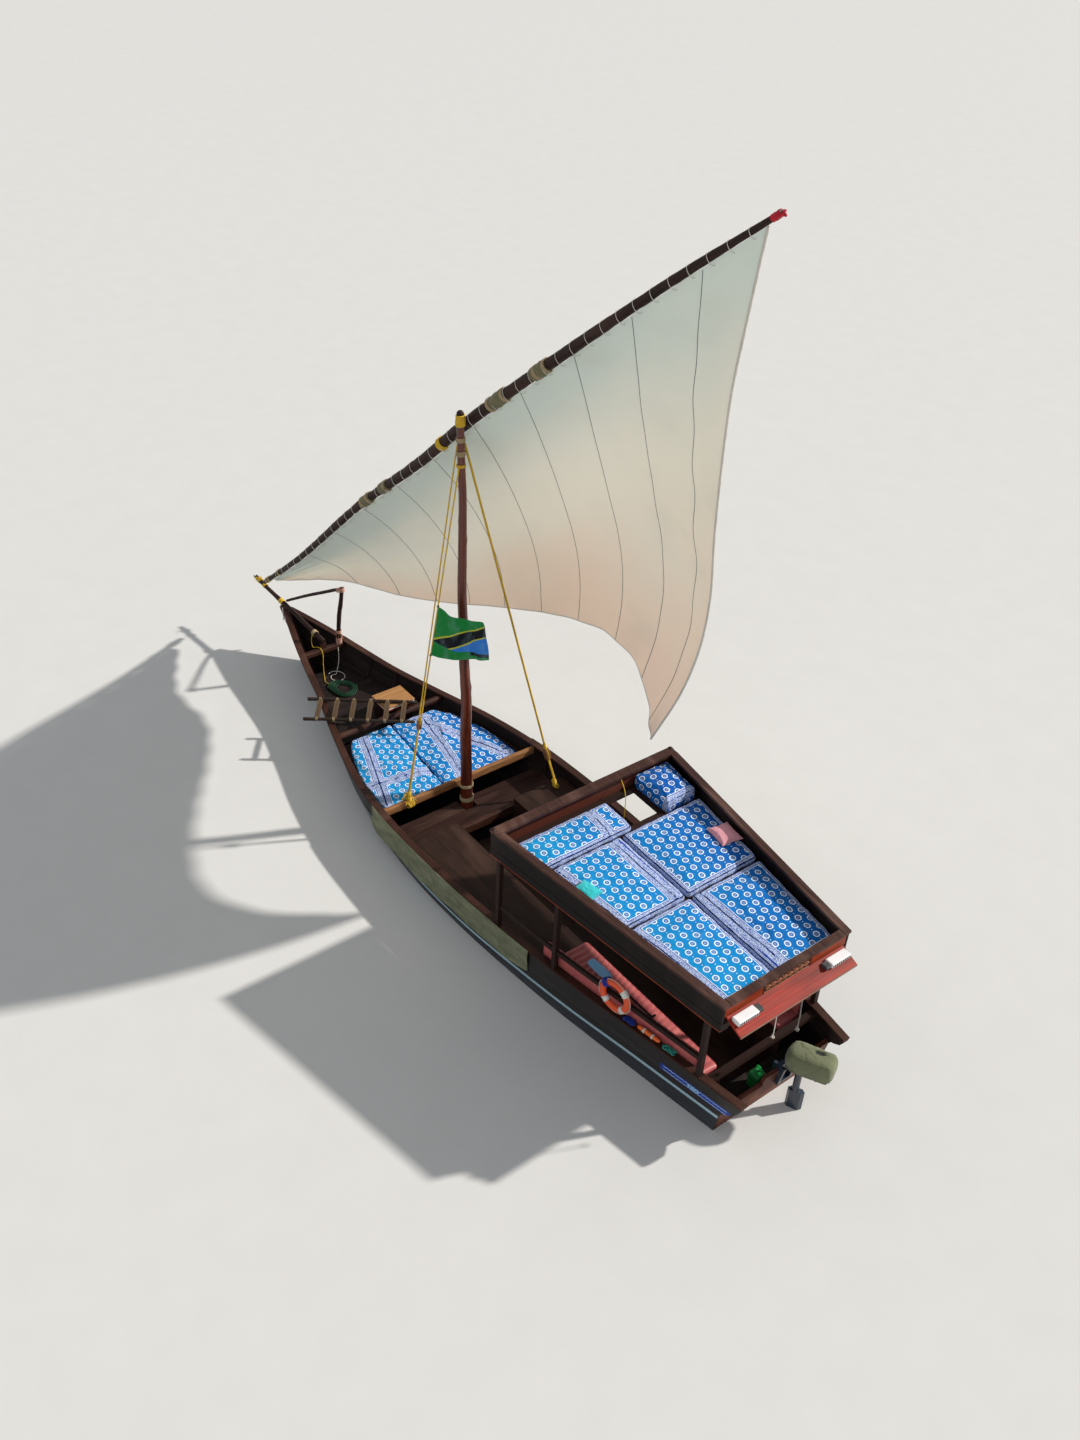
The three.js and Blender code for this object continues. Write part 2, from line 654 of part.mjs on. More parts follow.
// Roof. Its pieces are drawn level and then sheared to the roof's fall from front to back.
const ROOF_FALL = (ROOF_FRONT.z - ROOF_AFT.z) / (ROOF_FRONT.x - ROOF_AFT.x);
const roofShare = (x) => (x - ROOF_FRONT.x) / (ROOF_AFT.x - ROOF_FRONT.x);
const roofHalf = (x) => lerp(ROOF_FRONT.half, ROOF_AFT.half, roofShare(x));
const roofZ = (x) => ROOF_FRONT.z + ROOF_FALL * (x - ROOF_FRONT.x);

// Inner face of the side posts and outer face of the rail between them
const postY = (x) => section(x).half - POST + 5;
const railOut = (x) => postY(x) + 5 + SIDE_RAIL.wide;

function sloped(geometry) {
  const shear = new THREE.Matrix4().set(
    1, 0, 0, 0,
    0, 1, 0, 0,
    ROOF_FALL, 0, 1, ROOF_FRONT.z - ROOF_FALL * ROOF_FRONT.x,
    0, 0, 0, 1,
  );
  return geometry.applyMatrix4(shear);
}

// A plan outline between two x values whose sides keep a distance from the roof's side line.
const tapered = (x, outer) => [
  [x[0], -(roofHalf(x[0]) - outer)],
  [x[1], -(roofHalf(x[1]) - outer)],
  [x[1], roofHalf(x[1]) - outer],
  [x[0], roofHalf(x[0]) - outer],
];

function buildRoof() {
  const ends = [ROOF_AFT.x, ROOF_FRONT.x];
  const well = [ROOF_AFT.x + 110, ROOF_FRONT.x - 150];
  const rim = cut(
    plate(tapered(ends, 0), "z", -RIM.thick, 0),
    plate(tapered(well, RIM.width), "z", -RIM.thick - 10, 10),
  );
  add("roof_rim", sloped(rim), RED_WOOD);

  const fasciaX = [ROOF_AFT.x + FASCIA.inset, ROOF_FRONT.x - FASCIA.inset];
  const side = [
    [fasciaX[0], roofHalf(fasciaX[0]) - FASCIA.inset],
    [fasciaX[1], roofHalf(fasciaX[1]) - FASCIA.inset],
    [fasciaX[1], roofHalf(fasciaX[1]) - FASCIA.inset - FASCIA.thick],
    [fasciaX[0], roofHalf(fasciaX[0]) - FASCIA.inset - FASCIA.thick],
  ];
  const board = sloped(plate(side, "z", -FASCIA.deep, -RIM.thick - GAP));
  add("fascia_port", board, DARK_PLANK);
  add("fascia_starboard", mirrored(board), DARK_PLANK);

  const within = FASCIA.inset + FASCIA.thick + GAP;
  const endBoards = [
    ["fascia_front", fasciaX[1] - FASCIA.thick, ROOF_FLOOR.top - ROOF_FLOOR.thick],
    ["fascia_aft", fasciaX[0], -225],
  ];
  for (const [name, x, bottom] of endBoards) {
    const plan = tapered([x, x + FASCIA.thick], within);
    add(name, sloped(plate(plan, "z", bottom, -RIM.thick - GAP)), RED_WOOD);
  }

  // The sunk floor on its beams, with the way up cut through it.
  const floorX = [fasciaX[0] + 2, fasciaX[1] - FASCIA.thick - GAP];
  const under = ROOF_FLOOR.top - ROOF_FLOOR.thick;
  const carling = (sign) =>
    plate(
      [
        [floorX[0], sign * (roofHalf(floorX[0]) - within)],
        [floorX[1], sign * (roofHalf(floorX[1]) - within)],
        [floorX[1], sign * (roofHalf(floorX[1]) - within - 110)],
        [floorX[0], sign * (roofHalf(floorX[0]) - within - 110)],
      ],
      "z",
      under - ROOF_BEAM.deep,
      under + 5,
    );
  const crossBeams = [-2310, -3040, -4100, -5100, -6190].map((x) => {
    const faces = [x - ROOF_BEAM.wide / 2, x + ROOF_BEAM.wide / 2].map((face) => clamp(face, ...floorX));
    return plate(tapered(faces, within + 20), "z", under - ROOF_BEAM.deep + 10, under + 5);
  });
  const floorBoards = plate(tapered(floorX, within), "z", under, ROOF_FLOOR.top);
  const hatch = box(HATCH.x, HATCH.y, [under - 300, 100]);
  add("roof_floor", sloped(cut(joined(floorBoards, carling(1), carling(-1), ...crossBeams), hatch)), BROWN);

  // Posts on the gunwale with a rail between them.
  const beamUnder = (x) => roofZ(x) + under - ROOF_BEAM.deep;
  const posts = POSTS_X.map((x) => {
    const foot = Math.max(section(x - POST / 2).sheer, section(x + POST / 2).sheer) + GAP;
    const head = beamUnder(x - POST / 2) - GAP;
    return box([x - POST / 2, x + POST / 2], [postY(x), postY(x) + POST], [foot, head]);
  });
  const rails = POSTS_X.slice(1).map((x, i) => {
    const from = POSTS_X[i];
    const line = [
      [from, railOut(from) - SIDE_RAIL.wide],
      [from, railOut(from)],
      [x, railOut(x)],
      [x, railOut(x) - SIDE_RAIL.wide],
    ];
    return plate(line, "z", SIDE_RAIL.top - SIDE_RAIL.deep, SIDE_RAIL.top);
  });
  const frame = joined(...posts, ...rails);
  add("side_frame_port", frame, POLE);
  add("side_frame_starboard", mirrored(frame), POLE);

  // A shelf under the after edge carries a lamp box at each end.
  const shelfX = ROOF_AFT.x + FASCIA.inset - GAP;
  const shelf = plate(
    [[shelfX, 2065], [shelfX, 2095], [shelfX - 270, 1975], [shelfX - 270, 1945]],
    "y",
    -1030,
    1030,
  );
  const drop = (2095 - 1975) / 270;
  const lampSide = [
    [shelfX - 40, 2090 - drop * 40],
    [shelfX - 40, 2165 - drop * 40],
    [shelfX - 180, 2165 - drop * 180],
    [shelfX - 180, 2090 - drop * 180],
  ];
  const lamps = [[640, 990], [-990, -640]].map(([from, to]) => plate(lampSide, "y", from, to));
  add("stern_shelf", joined(shelf, ...lamps), RED_WOOD);
}

// Soft goods
const MATTRESS = 110;
// Mattresses on the roof. Columns: name, x from and to, y from and to at the after end and at the fore end.
const ROOF_MATTRESSES = [
  ["mattress_roof_1", -3060, -2425, -230, 1470, -260, 1555],
  ["mattress_roof_2", -4460, -3085, 35, 1285, 35, 1465],
  ["mattress_roof_3", -4460, -3085, -1285, 10, -1465, 10],
  ["mattress_roof_4", -6090, -4485, 15, 1070, 15, 1280],
  ["mattress_roof_5", -6090, -4485, -1070, -10, -1280, -10],
];

function roofPad([name, x0, x1, aftFrom, aftTo, foreFrom, foreTo]) {
  const outline = [[x0, aftFrom], [x1, foreFrom], [x1, foreTo], [x0, aftTo]];
  const base = ROOF_FLOOR.top + GAP;
  add(name, sloped(plate(outline, "z", base, base + MATTRESS)), CLOTH);
}

function buildSoftGoods() {
  ROOF_MATTRESSES.forEach(roofPad);
  const floor = ROOF_FLOOR.top + GAP;
  const bolsterPlan = [[-3050, -1440], [-2297, -1525], [-2297, -860], [-3050, -860]];
  add("bolster", sloped(plate(bolsterPlan, "z", floor, floor + 240)), CLOTH);
  const onPad = floor + MATTRESS + GAP;
  const pillow = (x, y, long, wide, turn) => {
    const pad = box([-long / 2, long / 2], [-wide / 2, wide / 2], [onPad, onPad + 110]);
    return sloped(pad.rotateZ(turn).translate(x, y, 0));
  };
  add("pillow_turquoise", pillow(-3710, 1130, 350, 290, 0.2), look(0x2fc0c6, 0.9));
  add("pillow_pink", pillow(-3910, -1168, 400, 380, -0.13), look(0xe8a7ae, 0.9));

  const deck = BOW_DECK.top + GAP;
  const bowPads = [
    ["port", [[960, 215], [2830, 60], [2830, 860], [2500, 1040], [1800, 1250], [960, 1330]]],
    ["starboard", [[960, 190], [960, -1320], [1800, -1250], [2500, -1040], [2830, -820], [2830, 35]]],
  ];
  for (const [side, outline] of bowPads)
    add("mattress_bow_" + side, plate(outline, "z", deck, deck + MATTRESS), CLOTH);

  const seatX = [-5880, -3180];
  const seatSide = (x) => section(x).half - 120;
  const seat = plate(
    [...seatX.map((x) => [x, 560]), ...[seatX[1], -4500, seatX[0]].map((x) => [x, seatSide(x)])],
    "z",
    BENCH.top + GAP,
    BENCH.top + 100,
  );
  const backLine = [seatX[0], -4950, -4050, seatX[1]];
  const back = plate(
    [
      ...backLine.map((x) => [x, section(x).half - 112]),
      ...backLine.toReversed().map((x) => [x, section(x).half - 215]),
    ],
    "z",
    BENCH.top + 95,
    960,
  );
  const cushions = joined(seat, back);
  add("cushions_port", cushions, SALMON);
  add("cushions_starboard", mirrored(cushions), SALMON);
}

// Loose gear that belongs to the boat
function buildGear() {
  // The life ring hangs flat against the outside of the port rail.
  const ringX = -4630;
  const [ringRadius, tube] = [210, 50];
  const [fore, aft] = POSTS_X.slice(1);
  const slope = (railOut(fore) - railOut(aft)) / (fore - aft);
  const facets = 10;
  const halfThick = tube * Math.cos(Math.PI / facets) + GAP;
  const ring = new THREE.TorusGeometry(ringRadius, tube, facets, 28);
  ring.rotateX(Math.PI / 2);
  ring.rotateZ(Math.atan(slope));
  ring.translate(ringX, railOut(aft) + slope * (ringX - aft) + halfThick * Math.hypot(1, slope), 1185);
  add("life_ring", geometryOf(solid(ring)), look(0xd9421f, 0.6));

  const can = box([-6290, -6090], [0, 200], [AFT_DECK.top + GAP, AFT_DECK.top + 280]);
  const neck = rod(V(-6250, 130, AFT_DECK.top + 270), V(-6250, 130, AFT_DECK.top + 310), 30, 10);
  add("fuel_can", joined(can, neck), look(0x1d7a3a, 0.4));

  const coilProfile = [[130, 0], [270, 0], [290, 45], [265, 110], [150, 110], [125, 45], [130, 0]];
  const coil = new THREE.LatheGeometry(coilProfile.map(([r, z]) => new THREE.Vector2(r, z)), 24);
  coil.rotateX(Math.PI / 2);
  coil.translate(4420, 60, FORE_DECK.top + GAP);
  add("rope_coil", geometryOf(solid(coil)), look(0x2d5a36, 0.9));

  // The flag flies from the port stay's after rope. Its corners: top and bottom of the hoist, then of the fly.
  const hoist = [4000, 3200].map((z) => {
    const on = portHeads[1].clone().lerp(portEnds[1], (portHeads[1].z - z) / (portHeads[1].z - portEnds[1].z));
    return on.add(V(-STAY_RADIUS - GAP, 0, 0));
  });
  const fly = [V(-200, 250, 4160), V(-270, 250, 3620)];
  const steps = 12;
  const lines = Array.from({ length: steps + 1 }, (_, i) => {
    const share = i / steps;
    const bend = V(0, 60 * Math.sin(7 * share) * Math.min(1, 2 * share), -60 * Math.sin(Math.PI * share));
    const pair = hoist.map((p, k) => p.clone().lerp(fly[k], share).add(bend));
    const shift = (points, y) => points.map((p) => p.clone().add(V(0, y, 0)));
    return [...shift(pair, -2.5), ...shift(pair, 2.5).reverse()];
  });
  add("flag", loft(lines), look(0x1f8f45, 0.9));
}

// Outboard motor, hung on the transom's board
function buildMotor() {
  const GREY = look(0x2a2f36, 0.4, 0.3);
  const { x, thick, boardTop } = TRANSOM;
  const at = (offset) => [STEER.y + offset - 22, STEER.y + offset + 22];
  const sides = [-110, 110].flatMap((offset) => [
    raked(box([x - 70, x - GAP], at(offset), [300, 650])),
    raked(box([x - 70, x + thick + 70], at(offset), [boardTop + GAP, 650])),
    raked(box([x + thick + 2, x + thick + 55], at(offset), [400, 650])),
    box([TILT.x - 35, TILT.x + 35], at(offset), [640, TILT.z + 30]),
  ]);
  const across = (half) => [V(TILT.x, STEER.y - half, TILT.z), V(TILT.x, STEER.y + half, TILT.z)];
  const pin = rod(...across(150), 14, 12);
  const tie = raked(box([x - 70, x - GAP], [STEER.y - 110, STEER.y + 110], [300, 340]));
  add("motor_clamp", joined(...sides, pin, tie), GREY);

  // Swivel bracket: a tube on the tilt pin, with the steering bearing behind it.
  const upright = (from, to) => [V(STEER.x, STEER.y, from), V(STEER.x, STEER.y, to)];
  const eye = rod(...across(84), 30, 12);
  const arm = box([STEER.x - 10, TILT.x - 18], [STEER.y - 60, STEER.y + 60], [TILT.z - 28, TILT.z + 28]);
  const bearing = rod(...upright(330, TILT.z + 34), 48, 12);
  const bearingBore = (SHAFT.radius + SHAFT.play) / Math.cos(Math.PI / SHAFT.sides);
  const bores = [rod(...across(200), 15, 12), rod(...upright(200, 900), bearingBore, SHAFT.sides)];
  add("motor_swivel", cut(joined(eye, arm, bearing), ...bores), GREY);

  // Leg: steering shaft, midsection, plate, gearcase and skeg, with the pan that carries engine and hood.
  const shaft = rod(V(0, 0, 300), V(0, 0, PAN.under + 10), SHAFT.radius, SHAFT.sides);
  const mid = plate([[-90, -45], [60, -40], [95, 0], [60, 40], [-90, 45], [-130, 0]], "z", -260, 325);
  const wings = [[110, -60], [110, 60], [PROP.x - 170, 110], [PROP.x - 170, -110]];
  const antiPlate = plate(wings, "z", -120, -108);
  const caseEnd = PROP.x + PROP.half + 2;
  const gearcase = pole([130, 60, caseEnd].map((along) => V(along, 0, PROP.z)), [12, 55, 50], 10);
  const skeg = plate([[60, -320], [caseEnd + 10, -320], [caseEnd, -520], [caseEnd + 60, -520]], "y", -7, 7);
  const driveEnd = rod(V(caseEnd + 10, 0, PROP.z), V(PROP.x - PROP.half - 2, 0, PROP.z), 14, 10);
  const pan = loft([hoodRing(0.6, 0.6, PAN.under, 0), hoodRing(0.94, 0.95, PAN.top, 0)]);
  add("motor_leg", steered(joined(shaft, mid, pan, antiPlate, gearcase, skeg, driveEnd)), GREY);

  const block = box([-250, 150], [-120, 120], [PAN.top + GAP, PAN.top + 165]);
  add("motor_engine", steered(block), look(0x55585c, 0.5, 0.6));

  // Hood rings from its lower edge up. Columns: scale along, scale across, height, shift.
  const shell = [
    [0.94, 0.95, PAN.top + GAP, 0],
    [1, 1, 950, 0],
    [0.96, 0.88, 1040, -8],
    [0.86, 0.55, 1105, -20],
  ];
  const hollow = [
    [0.88, 0.84, PAN.top - 5, 0],
    [0.93, 0.9, 950, 0],
    [0.89, 0.79, 1033, -8],
    [0.78, 0.47, 1088, -20],
  ];
  const hood = cut(...[shell, hollow].map((rows) => loft(rows.map((row) => hoodRing(...row)))));
  add("motor_hood", steered(hood), look(0x8a9272, 0.7));

  const hub = rod(V(PROP.x + PROP.half, 0, PROP.z), V(PROP.x - PROP.half, 0, PROP.z), 38, 12, 30);
  const blades = [0, 1, 2].map((i) => {
    const blade = plate([[-22, 20], [22, 20], [62, 95], [30, 148], [-34, 140], [-58, 85]], "x", -5, 5);
    return blade.rotateZ(0.5).rotateX((2 * Math.PI * i) / 3).translate(PROP.x, 0, PROP.z);
  });
  const bore = rod(V(PROP.x + 100, 0, PROP.z), V(PROP.x - 100, 0, PROP.z), 15, 10);
  add("propeller", steered(cut(joined(hub, ...blades), bore)), look(0x3a3d42, 0.4, 0.5));
}

// Turns a piece drawn about the steering axis to where the motor is steered.
function steered(geometry) {
  return geometry.rotateZ(STEER.turn).translate(STEER.x, STEER.y, 0);
}

// One level outline of the hood about the steering axis, from the middle of its after end round and back.
function hoodRing(alongScale, acrossScale, z, shift) {
  const side = [[-440, -55], [-440, -110], [-395, -185], [60, -205], [180, -160], [220, -50]];
  const outline = [...side, ...side.toReversed().map(([along, across]) => [along, -across])];
  return outline.map(([along, across]) => V(along * alongScale + shift, across * acrossScale, z));
}

buildHull();
buildInside();
buildRig();
buildSail();
buildBowGear();
buildRoof();
buildSoftGoods();
buildGear();
buildMotor();

export default group;
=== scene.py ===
import json
import math
from itertools import product
import bpy
import numpy as np
from mathutils import Matrix, Vector, noise

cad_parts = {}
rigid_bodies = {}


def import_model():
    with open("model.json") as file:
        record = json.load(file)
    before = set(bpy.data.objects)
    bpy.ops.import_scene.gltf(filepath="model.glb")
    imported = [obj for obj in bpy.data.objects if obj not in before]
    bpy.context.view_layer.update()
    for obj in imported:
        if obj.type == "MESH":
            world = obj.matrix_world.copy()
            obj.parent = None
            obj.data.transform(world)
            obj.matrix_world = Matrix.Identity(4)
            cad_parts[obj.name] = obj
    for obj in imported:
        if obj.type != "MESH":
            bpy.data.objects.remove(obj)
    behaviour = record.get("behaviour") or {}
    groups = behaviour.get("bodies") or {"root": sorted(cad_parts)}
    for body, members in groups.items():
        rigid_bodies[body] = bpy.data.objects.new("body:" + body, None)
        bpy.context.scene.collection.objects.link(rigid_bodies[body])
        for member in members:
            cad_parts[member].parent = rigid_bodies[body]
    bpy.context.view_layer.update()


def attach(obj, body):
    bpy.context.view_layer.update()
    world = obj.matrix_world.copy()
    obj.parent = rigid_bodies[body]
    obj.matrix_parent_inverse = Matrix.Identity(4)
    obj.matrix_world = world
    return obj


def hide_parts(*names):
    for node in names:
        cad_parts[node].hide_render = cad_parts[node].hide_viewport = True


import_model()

# Metres. +X forward, +Y to port, +Z up, the origin at the waterline amidships.

# Camera at the photograph's place and angle
CAM_AT = (-12.996525, 9.680694, 14.130134)
CAM_RIGHT = (-0.60721332, -0.79327774, 0.04474844)
CAM_UP = (0.49046018, -0.32992222, 0.80659788)
CAM_FORWARD = (0.62509263, -0.51172430, -0.58940431)
lens = bpy.data.cameras.new("camera")
lens.lens = 33.0232
lens.sensor_width = 36
lens.clip_end = 500
camera = bpy.data.objects.new("camera", lens)
bpy.context.scene.collection.objects.link(camera)
camera.matrix_world = Matrix(
    [[CAM_RIGHT[i], CAM_UP[i], -CAM_FORWARD[i], CAM_AT[i]] for i in range(3)] + [[0, 0, 0, 1]]
)
bpy.context.scene.camera = camera

# Shapes that the pieces share with the solids
# Sections of the hull. Columns: x, half breadth and height of the sheer, half breadth and height of the
# bilge corner, height of the rabbet.
SECTIONS = np.array([
    [-6700, 975, 800, 1010, -240, -290],
    [-5750, 1120, 805, 1158, -300, -380],
    [-4900, 1245, 800, 1283, -330, -450],
    [-3900, 1395, 785, 1433, -360, -505],
    [-2900, 1505, 765, 1543, -380, -540],
    [-1700, 1595, 735, 1630, -390, -560],
    [-500, 1620, 700, 1635, -390, -565],
    [700, 1580, 670, 1500, -390, -565],
    [1900, 1405, 645, 1240, -380, -560],
    [3000, 1105, 645, 870, -350, -545],
    [4000, 800, 685, 535, -300, -525],
    [4800, 600, 745, 320, -220, -480],
    [5500, 410, 820, 190, -60, -300],
    [6100, 225, 880, 120, 400, 281],
    [6520, 78, 925, 60, 780, 729],
]) / 1000
# The yard from heel to peak. Columns: x, y, z, radius.
YARD = np.array([
    [7330, 40, 1105, 40],
    [5920, -20, 2280, 55],
    [3820, -80, 4220, 72],
    [2110, -130, 5640, 82],
    [900, -172, 6740, 85],
    [-880, -240, 8210, 76],
    [-2720, -330, 9690, 56],
    [-3960, -410, 10640, 34],
]) / 1000
# Foot of the sail from tack to clew, and its after edge from peak to clew. Columns: x, y, z.
FOOT = np.array([
    [6880, -60, 1330],
    [5130, -450, 2050],
    [3810, -800, 2300],
    [2500, -950, 2760],
    [1260, -1050, 3280],
    [-300, -1180, 3840],
    [-1130, -1250, 3960],
    [-1700, -1290, 3740],
    [-2040, -1300, 3150],
    [-2125, -1300, 2680],
]) / 1000
LEECH = np.array([
    [-3510, -600, 9300],
    [-3290, -760, 8400],
    [-3050, -1060, 6570],
    [-3000, -1200, 5510],
    [-2850, -1290, 4630],
    [-2570, -1330, 3720],
]) / 1000
PLANK = 0.045
CAP = 0.035
BOW_X = 6.52
GAP = 0.0003


def catmull(points, per=40):
    P = np.vstack([2 * points[0] - points[1], points, 2 * points[-1] - points[-2]])
    out = []
    for i in range(1, len(P) - 2):
        a, b, c, d = P[i - 1:i + 3]
        s, t, u = [max(float(np.sum((q - p) ** 2)) ** 0.25, 1e-9) for p, q in ((a, b), (b, c), (c, d))]
        m = ((b - a) / s - (c - a) / (s + t) + (c - b) / t) * t
        n = ((c - b) / t - (d - b) / (t + u) + (d - c) / u) * t
        k = np.linspace(0, 1, per, endpoint=False)[:, None]
        out.append(b + m * k + (3 * (c - b) - 2 * m - n) * k ** 2 + (2 * (b - c) + m + n) * k ** 3)
    return np.vstack(out + [P[-2][None]])


class Line:
    """A smooth line through points, read by its share of the length."""

    def __init__(self, points):
        points = np.asarray(points, float)
        self.points = catmull(points) if len(points) > 2 else points
        steps = np.linalg.norm(np.diff(self.points, axis=0), axis=1)
        self.length = float(steps.sum())
        self.share = np.r_[0, np.cumsum(steps)] / self.length

    def at(self, t):
        return np.stack([np.interp(t, self.share, self.points[:, k]) for k in range(3)], -1)

    def along(self, t):
        t = np.asarray(t, float)
        v = self.at(np.clip(t + 1e-3, 0, 1)) - self.at(np.clip(t - 1e-3, 0, 1))
        return v / np.linalg.norm(v, axis=-1, keepdims=True)

    def cut(self, step):
        return self.at(np.linspace(0, 1, max(2, int(self.length / step) + 1)))


yard_line = Line(YARD[:, :3])
foot_line = Line(FOOT)
SAIL_FROM, SAIL_TO = 0.028, 0.985


def yard_radius(t):
    return np.interp(-yard_line.at(t)[..., 0], -YARD[:, 0], YARD[:, 3])


def yard_down(t):
    along = yard_line.along(t)
    down = np.array([-0.35, -0.12, -1.0])
    v = down - (along @ down)[..., None] * along
    return v / np.linalg.norm(v, axis=-1, keepdims=True)


def sail_head(u):
    t = SAIL_FROM + (SAIL_TO - SAIL_FROM) * u
    return yard_line.at(t) + yard_down(t) * (yard_radius(t) + 0.0024)[..., None]


ONE = np.array([1.0])
leech_line = Line(np.vstack([sail_head(ONE), LEECH, foot_line.at(ONE)]))


def sail_points(u, v):
    """Points of the sail for a row of u, tack to peak, and a row of v, yard to foot."""
    u, v = np.asarray(u, float)[:, None], np.asarray(v, float)[None, :]
    V = v[..., None]
    straight = sail_head(u[:, 0])[:, None] * (1 - V) + foot_line.at(u[:, 0])[:, None] * V
    chord = sail_head(ONE)[0] * (1 - V) + foot_line.at(ONE)[0] * V
    leech = leech_line.at(v[0])[None] - chord
    belly = 0.45 * np.sin(np.pi * u) * 4 * v * (1 - v)
    return straight + leech * (u ** 3)[..., None] - np.stack([0 * belly, belly, 0 * belly], -1)


def section(x):
    """Half breadth, sheer, bilge half breadth, bilge height and rabbet at each x."""
    T, rows = SECTIONS[:, 0], SECTIONS[:, 1:]
    x = np.asarray(x, float)
    i = np.clip(np.searchsorted(T, x, side="right"), 1, len(T) - 1)
    t0, t1 = T[i - 1], T[i]
    before = np.where(i >= 2, i - 2, i)
    after = np.where(i + 1 < len(T), i + 1, i - 1)
    tb = np.where(i >= 2, T[np.maximum(i - 2, 0)], t1)
    ta = np.where(i + 1 < len(T), T[np.minimum(i + 1, len(T) - 1)], t0)
    half = (t1 - t0) / 2
    wb, wa, p = half / (t0 - tb), half / (ta - t1), (x - t0) / (t1 - t0)
    s = [
        -wb * p ** 3 + 2 * wb * p * p - wb * p,
        (1 + wb) * p ** 3 + (-1.5 - 2 * wb) * p * p + (-0.5 + wb) * p + 1,
        (-1 - wa) * p ** 3 + (1.5 + wa) * p * p + 0.5 * p,
        wa * p ** 3 - wa * p * p,
    ]
    at = [before, i - 1, i, after]
    return np.moveaxis(sum(w[..., None] * rows[k] for w, k in zip(s, at)), -1, 0)


def skin(x, t, inset=0.0):
    """A point of the port planking: t runs from the rabbet up to the cap."""
    x, t = np.broadcast_arrays(np.asarray(x, float), np.asarray(t, float))
    half, sheer, bilge, low, rabbet = section(x)
    weight = 2.6 + (1.5 - 2.6) * np.clip(x / 5.0, 0, 1)
    a, b, c = (1 - t) ** 2, 2 * weight * t * (1 - t), t * t
    w = a + b + c
    y = (a * PLANK + b * np.maximum(bilge - inset, 0.046) + c * np.maximum(half - inset, 0.047)) / w
    z = (a * (rabbet + inset * 1.15) + b * (low + inset) + c * (sheer - CAP - GAP)) / w
    return np.stack([x, y, z], -1)


def inner_half(x, z, inset=PLANK + 0.004):
    """Half breadth inside the planking at a height."""
    t = np.linspace(0, 1, 120)
    S = skin(np.full(120, float(x)), t, inset)
    return float(np.interp(z, S[:, 2], S[:, 1]))


# Shading
class Wire:
    """One output of a node. Arithmetic on it adds the nodes that work it out."""

    def __init__(self, shader, socket):
        self.shader, self.socket = shader, socket

    def __abs__(self):
        return self.shader.math("ABSOLUTE", self)

    def __add__(self, other):
        return self.shader.math("ADD", self, other)

    def __sub__(self, other):
        return self.shader.math("SUBTRACT", self, other)

    def __mul__(self, other):
        return self.shader.math("MULTIPLY", self, other)

    def __truediv__(self, other):
        return self.shader.math("DIVIDE", self, other)

    def __lt__(self, other):
        return self.shader.math("LESS_THAN", self, other)

    def __gt__(self, other):
        return self.shader.math("GREATER_THAN", self, other)


